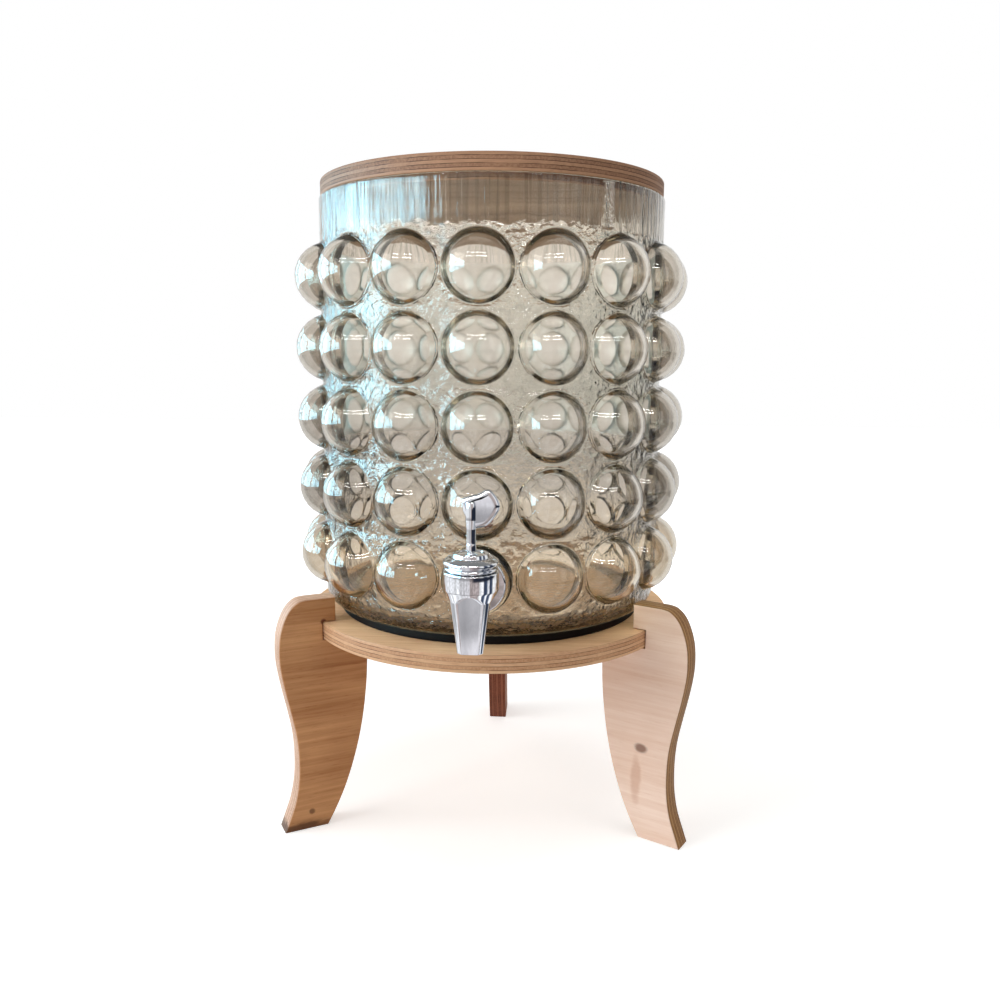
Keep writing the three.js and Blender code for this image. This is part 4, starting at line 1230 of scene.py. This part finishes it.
def floorLook(tree, place):
    path, seen = seenDirectly(tree)
    glossyRay = path["Is Glossy Ray"]
    glowing = mixColours(remap(lengthOf(place), *studio["glow"]), black, white)
    # Shiny surfaces see the room's colours on the floor in front, darker, and grey close to the tap
    fromTap = vectorCalc("SUBTRACT", place, (0, tapY, 0))
    apart = lengthOf(fromTap)
    room, angle = roomColour(fromTap)
    stops = [(away / studio["floorReach"], (shade, shade, shade, 1)) for away, shade in studio["floorShades"]]
    shades = rampOver(calc("DIVIDE", apart, studio["floorReach"]), stops)
    dim = scaledVector(mixColours(1.0, room, shades, "MULTIPLY"), noiseRange(place, *studio["clutter"]))
    # Far off and to the right it is dark, which is what the stem's right side shows
    farRight = times(remap(apart, *studio["farFade"]), remap(angle, *studio["rightFade"]))
    dim = mixColours(farRight, dim, studio["farRight"])
    inFront = remap(calc("ABSOLUTE", angle), *studio["frontFade"], 1.0, 0.0)
    shiny = mixColours(inFront, white, dim)
    return {"Base Color": mixColours(glossyRay, studio["floorWhite"], black), "Roughness": 1,
            "Specular IOR Level": 0, "Emission Color": mixColours(glossyRay, glowing, shiny),
            "Emission Strength": calc("MAXIMUM", seen, glossyRay)}


def aimedMatrix(place, target):
    turn = (Vector(target) - Vector(place)).to_track_quat("-Z", "Y")
    return Matrix.Translation(place) @ turn.to_matrix().to_4x4()


def makeLamp(name, place, width, height, power, tint):
    data = bpy.data.lights.new(name, "AREA")
    data.shape = "RECTANGLE"
    data.size = width
    data.size_y = height
    data.energy = power
    data.color = tint
    lamp = newObject(name, data)
    lamp.matrix_world = aimedMatrix(place, studio["lampTarget"])
    lamp.visible_glossy = False


def glowLook(tree, place, strength, colourOf):
    glow = addNode(tree, "Emission", {"Color": colourOf(place), "Strength": strength})[0]
    setInputs(tree.nodes["Material Output"], {"Surface": glow})
    return {}


# Stage pieces that only show in reflections, as cards do beside a shiny thing
def reflectedOnly(name, corners, strength, colourOf):
    card = newWall(name, corners, newMaterial(f"{name}_glow", glowLook, strength, colourOf))
    for kind in ("camera", "diffuse", "transmission", "shadow"):
        setattr(card, f"visible_{kind}", False)


# Leaves against the sky, as seen through the window
def leafySky(place):
    return mixColours(noiseRange(place, *studio["leaves"]), studio["leaf"], studio["sky"])


# A pane of the window wall, between two shares of its length
def makePane(name, start, end, power):
    far, near = Vector(studio["wallFar"]), Vector(studio["wallNear"])
    feet = [far.lerp(near, start), far.lerp(near, end)]
    low = [(foot.x, foot.y, studio["wallLow"]) for foot in feet]
    high = [(foot.x, foot.y, studio["wallHigh"]) for foot in feet[::-1]]
    reflectedOnly(name, low + high, studio["paneLight"] * power, leafySky)


def makeTube(name, angle, height, length):
    turned = aimedMatrix(around(angle, studio["tubeDistance"], height), (0, axisY, studio["tubeAim"]))
    corners = [turned @ Vector(corner) for corner in rectangle(length, studio["tubeHeight"])]
    reflectedOnly(name, corners, studio["tubeLight"], lambda place: studio["tubeTint"])


scene.view_settings.view_transform = "Standard"
makeCamera()
makeWorld()
newWall("floor", rectangle(studio["floorSize"], studio["floorSize"]), newMaterial("floor_white", floorLook))
for name, values in studio["lamps"].items():
    makeLamp(name, *values)
for number, pane in enumerate(studio["panes"]):
    makePane(f"window_pane_{number}", *pane)
for number, tube in enumerate(studio["tubes"]):
    makeTube(f"ceiling_tube_{number}", *tube)
print("studio ready")
